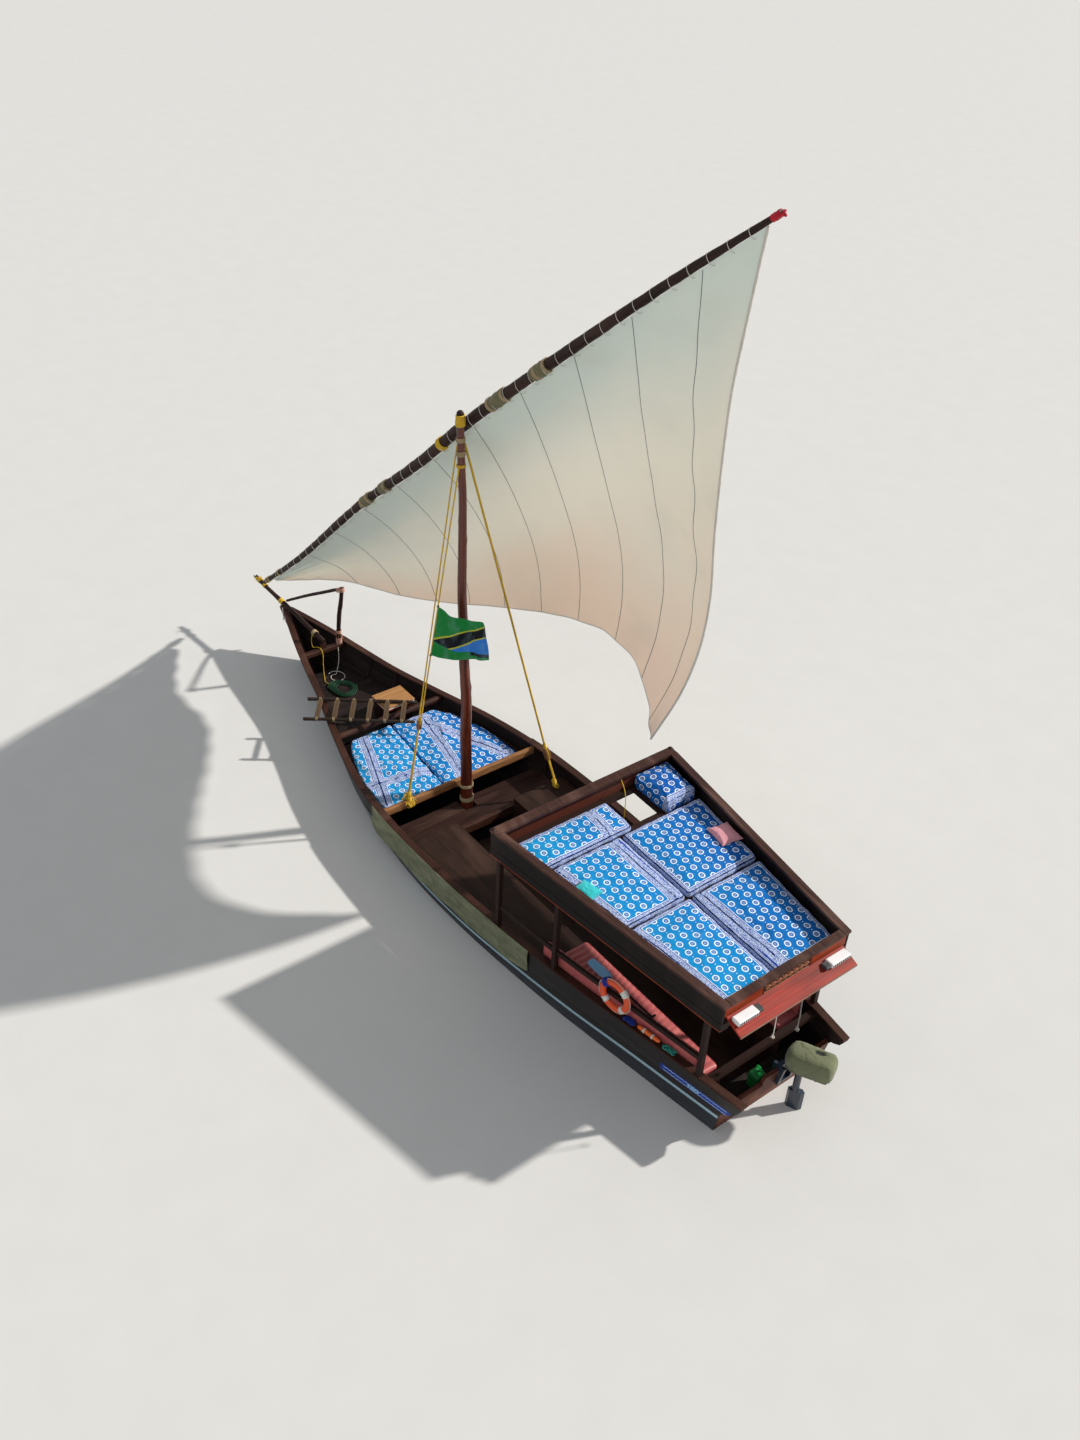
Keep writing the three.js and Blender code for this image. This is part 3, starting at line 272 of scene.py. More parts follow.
class Shader:
    """A node material, built from its inputs to its surface. Colours are given as three numbers."""

    def __init__(self, name, roughness=0.6, specular=0.5, **sockets):
        self.material = bpy.data.materials.new(name)
        self.material.use_nodes = True
        self.tree = self.material.node_tree
        self.surface = self.tree.nodes["Principled BSDF"]
        for key, value in {"Roughness": roughness, "Specular_IOR_Level": specular, **sockets}.items():
            self.surface.inputs[key.replace("_", " ")].default_value = value
        self.place = self.out("TexCoord", output="Object")

    def feed(self, node, key, value):
        socket = node.inputs[key]
        if isinstance(value, Wire):
            self.tree.links.new(value.socket, socket)
        else:
            socket.default_value = (*value, 1.0) if socket.type == "RGBA" else value

    def node(self, kind, inputs=(), **props):
        node = self.tree.nodes.new("ShaderNode" + kind)
        for key, value in props.items():
            setattr(node, key, value)
        for key, value in inputs.items() if isinstance(inputs, dict) else enumerate(inputs):
            self.feed(node, key, value)
        return node

    def out(self, kind, inputs=(), output=0, **props):
        return Wire(self, self.node(kind, inputs, **props).outputs[output])

    def math(self, operation, *values, clamp=False):
        return self.out("Math", values, operation=operation, use_clamp=clamp)

    def uv(self):
        return self.out("UVMap", uv_map="UVMap")

    def split(self, vector):
        return [Wire(self, socket) for socket in self.node("SeparateXYZ", [vector]).outputs]

    def join(self, x, y, z=0.0):
        return self.out("CombineXYZ", (x, y, z))

    def scaled(self, vector, *scale):
        return self.out("Mapping", {"Vector": vector, "Scale": scale})

    def noise(self, vector, scale, detail=3.0, rough=0.55, distortion=0.0):
        return self.out("TexNoise", {"Vector": vector, "Scale": scale, "Detail": detail, "Roughness": rough,
                                     "Distortion": distortion})

    def voronoi(self, vector, scale, feature="F1"):
        return self.out("TexVoronoi", {"Vector": vector, "Scale": scale}, feature=feature)

    def threads(self, a, b, count):
        return self.math("SINE", a * count) * self.math("SINE", b * count)

    def ramp(self, value, *stops):
        """Stops are (place, colour) or (place, number)."""
        node = self.node("ValToRGB", [value])
        elements = node.color_ramp.elements
        for i, (at, colour) in enumerate(stops):
            element = elements[i] if i < 2 else elements.new(at)
            element.position = at
            element.color = (*colour, 1) if hasattr(colour, "__len__") else (colour, colour, colour, 1)
        return Wire(self, node.outputs[0])

    def mix(self, share, a, b):
        return self.out("MixRGB", (share, a, b), blend_type="MIX")

    def near(self, value, middle, half, soft):
        """1 within half of middle, falling to 0 over soft."""
        inside = self.math("SUBTRACT", half + soft, abs(value - middle))
        return self.math("DIVIDE", inside, soft, clamp=True)

    def bump(self, height, distance=0.002, strength=0.6, before=None):
        before = {} if before is None else {"Normal": before}
        return self.out("Bump", {"Height": height, "Distance": distance, "Strength": strength, **before})

    def finish(self, colour, roughness=None, normal=None):
        for key, value in (("Base Color", colour), ("Roughness", roughness), ("Normal", normal)):
            if value is not None:
                self.feed(self.surface, key, value)
        return self.material

    def let_through(self, share, **inputs):
        """Lets a share of the light through the finished cloth."""
        through = self.node("BsdfTranslucent", inputs)
        both = self.node("MixShader", [share])
        for i, node in enumerate((self.surface, through)):
            self.tree.links.new(node.outputs[0], both.inputs[i + 1])
        self.tree.links.new(both.outputs[0], self.tree.nodes["Material Output"].inputs[0])
        return self.material


def dim(colour, factor):
    return [factor * c for c in colour]


def wood(name, dark, light, axis, worn, roughness=(0.45, 0.75), grain=1.0, wear=0.5, specular=0.18):
    """Timber: streaked grain, blotches of wear and a fine bump. The grain runs along x, y or u."""
    s = Shader(name, specular=specular)
    if axis == "uv":
        space = s.uv()
    else:
        x, y, z = s.split(s.place)
        space = s.join(x, y, z) if axis == "x" else s.join(y, x, z)
    streak = s.noise(s.scaled(space, 1.2 * grain, 26 * grain, 26 * grain), 1.0, 6, 0.65, 0.35)
    fine = s.noise(s.scaled(space, 7 * grain, 160 * grain, 160 * grain), 1.0, 3, 0.6)
    blotch = s.noise(s.scaled(space, 0.7, 2.4, 2.4), 1.0, 4, 0.6)
    colour = s.mix(fine * 0.5, s.ramp(streak, (0.3, dark), (0.72, light)), dim(dark, 0.45))
    colour = s.mix(s.ramp(blotch, (0.5, 0.0), (0.74, wear)), colour, worn)
    rough = s.ramp(blotch * 0.6 + streak * 0.4, (0.35, roughness[0]), (0.65, roughness[1]))
    return s.finish(colour, rough, s.bump(streak + fine * 0.6, 0.0012, 0.7))


def smooth_paint(name, colour, roughness, grime, amount=0.25, scale=6.0, **sockets):
    """Moulded plastic or baked paint with dull patches, fine orange peel and scuffs."""
    s = Shader(name, roughness, **sockets)
    big = s.noise(s.place, scale, 5, 0.6)
    small = s.noise(s.place, scale * 60, 2, 0.5)
    shade = s.mix(s.ramp(big, (0.45, 0.0), (0.75, amount)), colour, grime)
    rough = s.ramp(big, (0.4, roughness), (0.7, min(1, roughness + 0.25)))
    return s.finish(shade, rough, s.bump(small, 0.0004, 0.5))


def rope_material(name, colour, dark=0.55):
    s = Shader(name, 0.8, 0.25)
    fibre = s.noise(s.scaled(s.uv(), 30, 900, 1), 1.0, 4, 0.7)
    dirt = s.noise(s.place, 3.0, 4, 0.6)
    shade = s.mix(fibre, dim(colour, dark), colour)
    shade = s.mix(s.ramp(dirt, (0.5, 0.0), (0.8, 0.4)), shade, dim(colour, 0.5))
    return s.finish(shade, None, s.bump(fibre, 0.0008, 0.6))


def cloth(name, colour, weave=900.0, shade=0.75, blotch=5.0):
    """Plain woven cloth by object place: threads two ways, soft blotches."""
    s = Shader(name, 0.85, 0.2, Sheen_Weight=0.2)
    x, y, z = s.split(s.place)
    soft = s.noise(s.place, blotch, 4, 0.55)
    return s.finish(s.mix(soft, dim(colour, shade), colour), None,
                    s.bump(s.threads(x + z, y - z, weave), 0.0006, 0.5))


# Geometry
def unit(v):
    return v / np.maximum(np.linalg.norm(v, axis=-1, keepdims=True), 1e-12)


def vec(*c):
    return np.array(c, float)


MIRROR = vec(1, -1, 1)
QUARTERS = ((-1, -1), (1, -1), (1, 1), (-1, 1))


def pack(*parts):
    """Coordinates joined into points, each spread to the shape of the others."""
    return np.stack(np.broadcast_arrays(*parts), -1)


def around(count, turns=1.0, closed=True):
    return np.linspace(0, 2 * np.pi * turns, count, endpoint=closed)


def oval(middle, a, b, turn):
    """Points at the angles of turn round middle, with the half axes a and b."""
    return middle + np.cos(turn)[:, None] * a + np.sin(turn)[:, None] * b


def beside(along):
    """A direction square to this one."""
    start = vec(0, 0, 1) if abs(along[2]) < 0.9 else vec(1, 0, 0)
    return unit(np.cross(start, along))


def sides_of(path):
    """Two sides of each point of a path, which don't twist."""
    tangent = unit(np.gradient(np.asarray(path, float), axis=0))
    side, first = beside(tangent[0]), []
    for t in tangent:
        side = unit(side - (side @ t) * t)
        first.append(side)
    return np.array(first), np.cross(tangent, first)


def signed_area(outline):
    x, y = outline.T
    return np.sum(x * np.roll(y, -1) - np.roll(x, -1) * y)


class Bag:
    """Gathers the parts of one piece."""

    def __init__(self):
        self.points, self.faces, self.slots, self.uvs, self.count = [], [], [], [], 0

    def add(self, points, faces, slot=0, uv=None):
        points = np.asarray(points, float).reshape(-1, 3)
        self.points.append(points)
        self.uvs.append(points[:, :2] if uv is None else np.asarray(uv, float).reshape(-1, 2))
        self.faces += [tuple(int(i) + self.count for i in face) for face in faces]
        self.slots += [slot] * len(faces)
        self.count += len(points)
        return self

    def grid(self, points, slot=0, uv=None, close_u=False, close_v=False, flip=False):
        rows, columns = points.shape[:2]
        faces = []
        for i in range(rows if close_u else rows - 1):
            for j in range(columns if close_v else columns - 1):
                here, there = i * columns, (i + 1) % rows * columns
                face = (here + j, here + (j + 1) % columns, there + (j + 1) % columns, there + j)
                faces.append((face[0], face[3], face[2], face[1]) if flip else face)
        return self.add(points, faces, slot, uv)

    def loft(self, points, slot=0, uv=None, flip=False):
        """A skin over closed rows of points, with a face at each end."""
        n = points.shape[1]
        low = tuple(range(self.count, self.count + n))
        self.grid(points, slot, uv, close_v=True, flip=flip)
        high = tuple(range(self.count - n, self.count))
        self.faces += [low, high[::-1]] if flip else [low[::-1], high]
        self.slots += [slot] * 2
        return self

    def tube(self, path, radius, sides=8, slot=0, cap=True, shape=None):
        path = np.asarray(path, float)
        radius = np.broadcast_to(np.asarray(radius, float), (len(path),))
        first, second = sides_of(path)
        turn = around(sides, closed=False)
        ring = np.cos(turn)[None, :, None] * first[:, None] + np.sin(turn)[None, :, None] * second[:, None]
        points = path[:, None] + ring * radius[:, None, None] * (1 if shape is None else shape[..., None])
        run = np.r_[0, np.cumsum(np.linalg.norm(np.diff(path, axis=0), axis=1))]
        uv = pack(run[:, None], turn[None] * radius.mean())
        return self.loft(points, slot, uv) if cap else self.grid(points, slot, uv, close_v=True)

    def loops(self, paths, radius, sides=6, slot=0):
        """Closed turns of cord."""
        for path in paths:
            self.tube(path, radius, sides, slot, cap=False)

    def rope(self, path, radius, pitch=None, slot=0):
        """A laid rope: three strands wound round the path."""
        line = Line(path)
        pitch = pitch or radius * 8
        steps = max(6, int(line.length / pitch * 7))
        middle = line.at(np.linspace(0, 1, steps))
        first, second = sides_of(middle)
        turn = np.linspace(0, 2 * np.pi * line.length / pitch, steps)
        for k in range(3):
            angle = turn + 2 * np.pi * k / 3
            off = np.cos(angle)[:, None] * first + np.sin(angle)[:, None] * second
            self.tube(middle + off * radius * 0.5, radius * 0.56, 5, slot)
        return self

    def box(self, low, high, slot=0, edge=0.004, at=None):
        """A box with bevelled edges. `at` is the origin and the axes that it is moved to."""
        low, high = vec(*low), vec(*high)
        edge = min(edge, 0.45 * float(np.min(high - low)))
        middle, half = (low + high) / 2, (high - low) / 2
        corners, faces, index = [], [], {}
        for signs in product((-1, 1), repeat=3):
            for k in range(3):
                point = half - edge
                point[k] = half[k]
                index[(*signs, k)] = len(corners)
                corners.append(middle + vec(*signs) * point)
        for k in range(3):
            def corner(s, a, b, face):
                key = [0, 0, 0]
                key[k], key[(k + 1) % 3], key[(k + 2) % 3] = s, a, b
                return index[(*key, (k + face) % 3)]

            for s in (-1, 1):
                faces.append([corner(s, a, b, 0) for a, b in ((-1, -1), (1, -1), (1, 1), (-1, 1))][::s])
            for a, b in product((-1, 1), repeat=2):
                faces.append([corner(s, a, b, face)
                              for s, face in ((-1, 1), (-1, 2), (1, 2), (1, 1))][::-a * b])
        for signs in product((-1, 1), repeat=3):
            faces.append([index[(*signs, k)] for k in range(3)][::math.prod(signs)])
        corners = np.array(corners)
        long = int(np.argmax(high - low))
        uv = pack(corners[:, long], corners.sum(1) - corners[:, long])
        if at is not None:
            corners = at[0] + corners @ np.array(at[1])
        return self.add(corners, faces, slot, uv)

    def prism(self, outline, low, high, slot=0, edge=0.003, lift=None):
        """A flat outline of (x, y) pairs pushed from low to high; lift adds a height at each x."""
        outline = np.asarray(outline, float)
        away = unit(outline - outline.mean(0)) * edge
        rings = [(outline - away, low), (outline, low + edge), (outline, high - edge),
                 (outline - away, high)]
        points = np.stack([pack(*ring.T, z) for ring, z in rings])
        if lift is not None:
            points[..., 2] += lift(points[..., 0])
        return self.loft(points, slot, flip=signed_area(outline) < 0)

    def leaf(self, points, offset, uv):
        """A thin sheet: both faces of a grid of points and the four edges between them. Returns its area."""
        front, back = points + offset, points - offset
        self.grid(front, 0, uv)
        self.grid(back, 0, uv, flip=True)
        for a, b, k in ((front[0], back[0], uv[0]), (back[-1], front[-1], uv[-1]),
                        (back[:, 0], front[:, 0], uv[:, 0]), (front[:, -1], back[:, -1], uv[:, -1])):
            self.grid(np.stack([a, b]), 0, np.stack([k, k]))
        corner = points[:-1, :-1]
        cells = np.cross(points[1:, :-1] - corner, points[:-1, 1:] - corner)
        return float(np.linalg.norm(cells, axis=-1).sum())

    def mirrored(self):
        """The same parts on the other side of the centreplane as well."""
        self.points += [points * MIRROR for points in self.points]
        self.uvs += self.uvs
        self.faces += [tuple(i + self.count for i in face)[::-1] for face in self.faces]
        self.slots += self.slots
        self.count *= 2
        return self

    def piece(self, name, materials, body="hull", replaces=(), slot=None, sharp=40, flip_y=False):
        points, uv, faces = np.vstack(self.points), np.vstack(self.uvs), self.faces
        if flip_y:
            points, faces = points * MIRROR, [face[::-1] for face in faces]
        mesh = bpy.data.meshes.new(name)
        mesh.from_pydata(points.tolist(), [], faces)
        for material in materials if isinstance(materials, list) else [materials]:
            mesh.materials.append(material)
        mesh.polygons.foreach_set("material_index", self.slots)
        corners = np.empty(len(mesh.loops), dtype=np.int32)
        mesh.loops.foreach_get("vertex_index", corners)
        layer = mesh.uv_layers.new(name="UVMap")
        layer.data.foreach_set("uv", uv[corners].astype(np.float32).ravel())
        mesh.validate()
        mesh.shade_smooth()
        mesh.set_sharp_from_angle(angle=math.radians(sharp))
        piece = bpy.data.objects.new(name, mesh)
        bpy.context.scene.collection.objects.link(piece)
        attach(piece, body)
        if replaces:
            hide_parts(*([replaces] if isinstance(replaces, str) else replaces))
        return piece


def dress(material, width, *nodes, flat=True):
    """CAD nodes that keep their shape get their timber or paint and eased edges."""
    for node in nodes:
        piece = bpy.data.objects[node]
        piece.data.materials.clear()
        piece.data.materials.append(material)
        if flat:
            merge = piece.modifiers.new("flat", "DECIMATE")
            merge.decimate_type = "DISSOLVE"
            merge.angle_limit = math.radians(1.0)
        eased = piece.modifiers.new("edges", "BEVEL")
        eased.width, eased.segments = width, 2
        eased.limit_method, eased.angle_limit = "ANGLE", math.radians(30)


def rough_radius(count, sides, amount, seed, knots=0):
    """Uneven radius of a hand-cut pole, as factors for each ring and side."""
    rng = np.random.default_rng(seed)
    out = np.ones((count, sides))
    for i, j in product(range(count), range(sides)):
        turn = 2 * math.pi * j / sides
        at = Vector((i * 0.35, math.cos(turn) * 1.3 + seed * 7.1, math.sin(turn) * 1.3))
        out[i, j] += amount * noise.noise(at)
    for _ in range(knots):
        i, j = rng.integers(3, max(4, count - 3)), rng.integers(0, sides)
        for di, dj in product(range(-2, 3), repeat=2):
            if 0 <= i + di < count:
                out[i + di, (j + dj) % sides] += 0.13 * math.exp(-(di * di + dj * dj) / 1.6)
    return out


def branch(bag, points, radii, sides=16, step=0.05, amount=0.12, seed=1, knots=3, slot=0):
    """A crooked pole through points."""
    line = Line(points)
    share = np.linspace(0, 1, max(4, int(line.length / step)))
    radius = np.interp(share, np.linspace(0, 1, len(radii)), radii)
    shape = rough_radius(len(share), sides, amount, seed, knots)
    shape[[0, -1]] *= 0.86
    bag.tube(line.at(share), radius, sides, slot, shape=shape)


def lashing(bag, middle, along, radius, turns=5, thick=0.006, slot=0, spread=None):
    """Turns of cord wound tightly round a pole at middle, as one helix."""
    along = unit(vec(*along))
    first = beside(along)
    second = np.cross(along, first)
    turn = around(int(turns * 14) + 1, turns)
    share = turn / turn[-1] - 0.5
    run = along * (share * (spread or turns * thick * 2.05))[:, None]
    bag.tube(oval(np.asarray(middle) + run, first * (radius + thick), second * (radius + thick), turn),
             thick, 6, slot)


# Timber and other finishes
PLANKS = wood("plank_timber", (0.004, 0.003, 0.003), (0.018, 0.012, 0.010), "x", (0.060, 0.042, 0.034),
              (0.4, 0.7))
INNER = wood("inner_timber", (0.008, 0.006, 0.006), (0.030, 0.018, 0.016), "uv", (0.065, 0.042, 0.036),
             (0.5, 0.8))
DECK = wood("deck_timber", (0.014, 0.006, 0.005), (0.052, 0.021, 0.014), "uv", (0.11, 0.062, 0.046),
            (0.45, 0.75))
BROWN = wood("brown_timber", (0.022, 0.009, 0.006), (0.075, 0.027, 0.017), "uv", (0.16, 0.080, 0.055),
             (0.38, 0.65))
BENCH_WOOD = wood("bench_timber", (0.014, 0.007, 0.005), (0.048, 0.021, 0.014), "x", (0.095, 0.052, 0.036))
ROOF_WOOD = wood("roof_timber", (0.030, 0.014, 0.012), (0.098, 0.042, 0.031), "uv", (0.19, 0.105, 0.080),
                 (0.42, 0.7), wear=0.7)
RED_BEAM = wood("red_timber", (0.14, 0.017, 0.006), (0.42, 0.066, 0.016), "uv", (0.46, 0.15, 0.065),
                (0.35, 0.6))
SHELF_WOOD = wood("shelf_timber", (0.20, 0.012, 0.006), (0.46, 0.034, 0.013), "y", (0.055, 0.022, 0.018),
                  (0.35, 0.6), wear=0.85)
FASCIA = wood("fascia_timber", (0.004, 0.003, 0.003), (0.015, 0.009, 0.008), "uv", (0.060, 0.040, 0.033),
              (0.42, 0.7))
MAST_WOOD = wood("mast_timber", (0.060, 0.010, 0.005), (0.27, 0.048, 0.017), "uv", (0.035, 0.012, 0.009),
                 (0.22, 0.45), specular=0.6, wear=0.75)
POLE_WOOD = wood("pole_timber", (0.012, 0.006, 0.005), (0.052, 0.022, 0.015), "uv", (0.11, 0.062, 0.046),
                 (0.4, 0.7))
BARE_POLE = wood("bare_pole_timber", (0.018, 0.011, 0.008), (0.062, 0.037, 0.026), "uv",
                 (0.20, 0.135, 0.098))
TAN = wood("tan_timber", (0.16, 0.068, 0.026), (0.46, 0.22, 0.085), "uv", (0.26, 0.14, 0.075), (0.55, 0.8))
PALE_EDGE = wood("pale_edge_timber", (0.20, 0.10, 0.075), (0.42, 0.25, 0.19), "y", (0.30, 0.14, 0.09),
                 (0.5, 0.8))
# Much lighter than the carved panel behind it: painted highlight on the relief.
CARVING = wood("carved_timber", (0.26, 0.085, 0.045), (0.56, 0.26, 0.15), "y", (0.62, 0.36, 0.24),
               (0.4, 0.7))
PLY = wood("plywood", (0.34, 0.155, 0.055), (0.55, 0.29, 0.115), "uv", (0.40, 0.22, 0.10), (0.6, 0.8), 0.6)
SLAT = wood("slat_timber", (0.058, 0.034, 0.018), (0.17, 0.11, 0.062), "uv", (0.17, 0.105, 0.066))
STEM_WOOD = wood("stem_timber", (0.016, 0.007, 0.006), (0.068, 0.025, 0.017), "x", (0.13, 0.066, 0.046),
                 (0.35, 0.65))
TRANSOM_WOOD = wood("transom_timber", (0.070, 0.018, 0.011), (0.22, 0.070, 0.042), "y", (0.32, 0.15, 0.10),
                    (0.4, 0.7))
DARK_RED = wood("dark_red_timber", (0.065, 0.018, 0.012), (0.19, 0.050, 0.030), "uv", (0.26, 0.095, 0.065),
                (0.35, 0.6))

YELLOW_ROPE = rope_material("yellow_rope", (0.86, 0.56, 0.05))
TAN_ROPE = rope_material("tan_rope", (0.50, 0.38, 0.22))
WHITE_ROPE = rope_material("white_rope", (0.78, 0.74, 0.66), 0.7)
GREEN_ROPE = rope_material("green_rope", (0.016, 0.070, 0.034))
GREY_ROPE = rope_material("grey_rope", (0.30, 0.28, 0.25))
PINK_ROPE = rope_material("pink_lashing", (0.62, 0.33, 0.25))
BLUE_ROPE = rope_material("blue_strap", (0.02, 0.05, 0.36), 0.7)
TEAL_ROPE = rope_material("teal_rope", (0.05, 0.34, 0.28), 0.7)
OLIVE = cloth("olive_cloth", (0.17, 0.155, 0.075), 1100)
RED_CLOTH = cloth("red_cloth", (0.55, 0.012, 0.03), 1100)
TURQUOISE = cloth("turquoise_cotton", (0.03, 0.56, 0.60), 1500, 0.7)
PINK = cloth("pink_cotton", (0.80, 0.36, 0.42), 1500)
SEAM_THREAD = cloth("seam_thread", (0.10, 0.13, 0.12), 1500)
HOOD_CLOTH = cloth("motor_cover_cloth", (0.205, 0.225, 0.125), 1000, 0.50, 3.0)
HOOD_RECESS = cloth("motor_cover_dark", (0.030, 0.034, 0.028), 1000, 0.60)
MOTOR_NAVY = smooth_paint("motor_navy", (0.012, 0.022, 0.042), 0.3, (0.10, 0.12, 0.13), 0.35, 9,
                          Coat_Weight=0.3)
STEEL = smooth_paint("worn_steel", (0.35, 0.35, 0.34), 0.35, (0.12, 0.07, 0.04), 0.5, 14, Metallic=0.9)
IRON = smooth_paint("cast_iron", (0.11, 0.11, 0.12), 0.6, (0.16, 0.08, 0.04), 0.4, 12, Metallic=0.5)
ORANGE = smooth_paint("ring_orange", (0.80, 0.085, 0.018), 0.42, (0.52, 0.16, 0.09), 0.35, 8)
WHITE_PAINT = smooth_paint("white_band", (0.80, 0.80, 0.78), 0.45, (0.42, 0.37, 0.30), 0.3, 10)
GREEN_CAN = smooth_paint("can_green", (0.010, 0.21, 0.045), 0.28, (0.05, 0.10, 0.05), 0.4, 9)
BRIGHT_GREEN = smooth_paint("handle_green", (0.01, 0.52, 0.09), 0.25, (0.03, 0.2, 0.05), 0.3, 12)
PADDLE_BLUE = smooth_paint("paddle_blue", (0.26, 0.55, 0.85), 0.3, (0.30, 0.42, 0.55), 0.4, 7)
LAMP_WHITE = smooth_paint("lamp_white", (0.86, 0.87, 0.88), 0.25, (0.55, 0.55, 0.52), 0.25, 9)
LAMP_DARK = smooth_paint("lamp_dark", (0.05, 0.055, 0.06), 0.4, (0.14, 0.13, 0.12), 0.4, 9)
ORANGE_GEAR = smooth_paint("float_orange", (0.85, 0.14, 0.02), 0.35, (0.5, 0.15, 0.06), 0.3, 8)


def hull_paint():
    """Outer side: oiled dark planks, pale stripe, blue band near the stern, slate boot below.
    The UV is x along the hull and the distance below the stripe's middle."""
    s = Shader("hull_side", specular=0.45)
    u, v, _ = s.split(s.uv())
    streak = s.noise(s.join(u * 1.6, v * 30.0), 1.0, 6, 0.65, 0.3)
    blotch = s.noise(s.join(u * 1.1, v * 3.0), 1.0, 4, 0.6)
    timber = s.ramp(streak, (0.3, (0.005, 0.004, 0.004)), (0.75, (0.020, 0.014, 0.012)))
    timber = s.mix(s.ramp(blotch, (0.52, 0.0), (0.8, 0.4)), timber, (0.052, 0.038, 0.031))
    boot = s.ramp(streak, (0.3, (0.007, 0.011, 0.017)), (0.75, (0.026, 0.032, 0.044)))
    boot = s.mix(s.ramp(blotch, (0.5, 0.0), (0.8, 0.5)), boot, (0.040, 0.038, 0.045))
    colour = s.mix(v > 0.0, timber, boot)
    # The stripe, with an uneven edge and chipped paint
    line = abs(v) < s.noise(s.join(u * 9.0, 0.0), 1.0, 3, 0.6) * 0.012 + 0.021
    pale = s.mix(streak * 0.6, (0.40, 0.58, 0.66), (0.22, 0.33, 0.40))
    chipped = s.ramp(s.noise(s.join(u * 14.0, v * 60.0), 1.0, 4, 0.7), (0.30, 0.25), (0.40, 1.0))
    colour = s.mix(line * chipped, colour, pale)
    # The blue band with its waved trim and the rings in its middle
    band_x, band_v = -6.0, -0.245
    band = s.near(u, band_x, 0.54, 0.03) * s.near(v, band_v, 0.080, 0.008)
    colour = s.mix(band, colour, s.mix(blotch, (0.004, 0.022, 0.26), (0.008, 0.055, 0.42)))
    wave = abs(s.math("SINE", u * 52.0)) * 0.016
    for middle in (-0.304, -0.200):
        trim = (abs(v - middle - wave) < 0.0072) * s.near(u, band_x, 0.50, 0.01)
        colour = s.mix(trim, colour, (0.50, 0.74, 0.88))
    du, dv = (u - (band_x + 0.02)) / 2.4, v - band_v
    far = s.math("SQRT", du * du + dv * dv)
    for radius in (0.012, 0.034):
        colour = s.mix(s.near(far, radius, 0.0055, 0.0015), colour, (0.30, 0.66, 0.88))
    return s.finish(colour, s.ramp(blotch, (0.35, 0.32), (0.7, 0.62)),
                    s.bump(streak + blotch * 0.8, 0.0015, 0.6))


def print_cloth():
    """Printed cotton: white rings on blue, scribbled pale borders, painted shade on the starboard side.
    The UV lies in the cloth, in metres; the attribute `edge` is the distance from the cloth's own edge."""
    s = Shader("ring_print", 0.85, 0.1, Sheen_Weight=0.05)
    wobble = (s.noise(s.uv(), 14.0, 3, 0.6) - 0.5) * 0.010
    u, v, _ = s.split(s.uv())
    u, v = u + wobble, v - wobble

    def lattice(du, dv):
        """Distance to a lattice of points that is shifted by shares of its two pitches."""
        far = []
        for value, pitch, shift in ((u, 0.166, du), (v, 0.288, dv)):
            far.append((s.math("FRACT", value / pitch + (50.5 + shift)) - 0.5) * pitch)
        return s.math("SQRT", far[0] * far[0] + far[1] * far[1])

    ring = s.math("MINIMUM", lattice(0, 0), lattice(0.5, 0.5))
    dot = s.math("MINIMUM", lattice(0.5, 0), lattice(0, 0.5))
    tone = s.noise(s.place, 0.9, 3, 0.5)
    # Painted shade: the blue darkens towards starboard (lower y), standing in for the shadow of the roof's
    # starboard rim; the noise adds random tone.
    side = s.split(s.place)[1] * 0.36 + (tone - 0.5) * 0.7
    blue = s.ramp(side + 0.45, (0.0, (0.003, 0.095, 0.40)), (0.35, (0.004, 0.17, 0.51)),
                  (0.95, (0.006, 0.29, 0.62)))
    white = s.mix(tone, (0.70, 0.80, 0.92), (0.88, 0.93, 0.97))
    field = s.mix(ring < 0.036, blue, s.mix(0.45, blue, (0.010, 0.07, 0.30)))
    for far, middle, half, soft, tint in ((ring, 0.0395, 0.0062, 0.0025, white),
                                          (ring, 0.011, 0.0035, 0.002, (0.36, 0.42, 0.62)),
                                          (dot, 0.0, 0.0060, 0.0025, white)):
        field = s.mix(s.near(far, middle, half, soft), field, tint)
    line = s.voronoi(s.uv(), 36.0, "DISTANCE_TO_EDGE")
    scribble = s.mix(line < 0.13, (0.36, 0.45, 0.66), (0.03, 0.10, 0.42))
    curl = s.noise(s.uv(), 60.0, 2, 0.5, 1.5)
    scribble = s.mix(s.near(curl, 0.5, 0.022, 0.018), scribble, (0.74, 0.80, 0.90))
    edge = s.out("Attribute", output="Fac", attribute_name="edge") + wobble * 0.4
    colour = s.mix(edge < 0.092, field, scribble)
    for middle, half, soft, tint in ((0.096, 0.0030, 0.002, (0.85, 0.90, 0.95)),
                                     (0.086, 0.0035, 0.002, (0.01, 0.04, 0.30)),
                                     (0.0, 0.010, 0.004, (0.005, 0.012, 0.08))):
        colour = s.mix(s.near(edge, middle, half, soft), colour, tint)
    fade = s.noise(s.place, 5.0, 5, 0.6)
    colour = s.mix(s.ramp(fade, (0.55, 0.0), (0.85, 0.12)), colour, (0.30, 0.48, 0.72))
    return s.finish(colour, None, s.bump(s.threads(u, v, 1900.0), 0.0004, 0.4, s.bump(fade, 0.006, 0.35)))


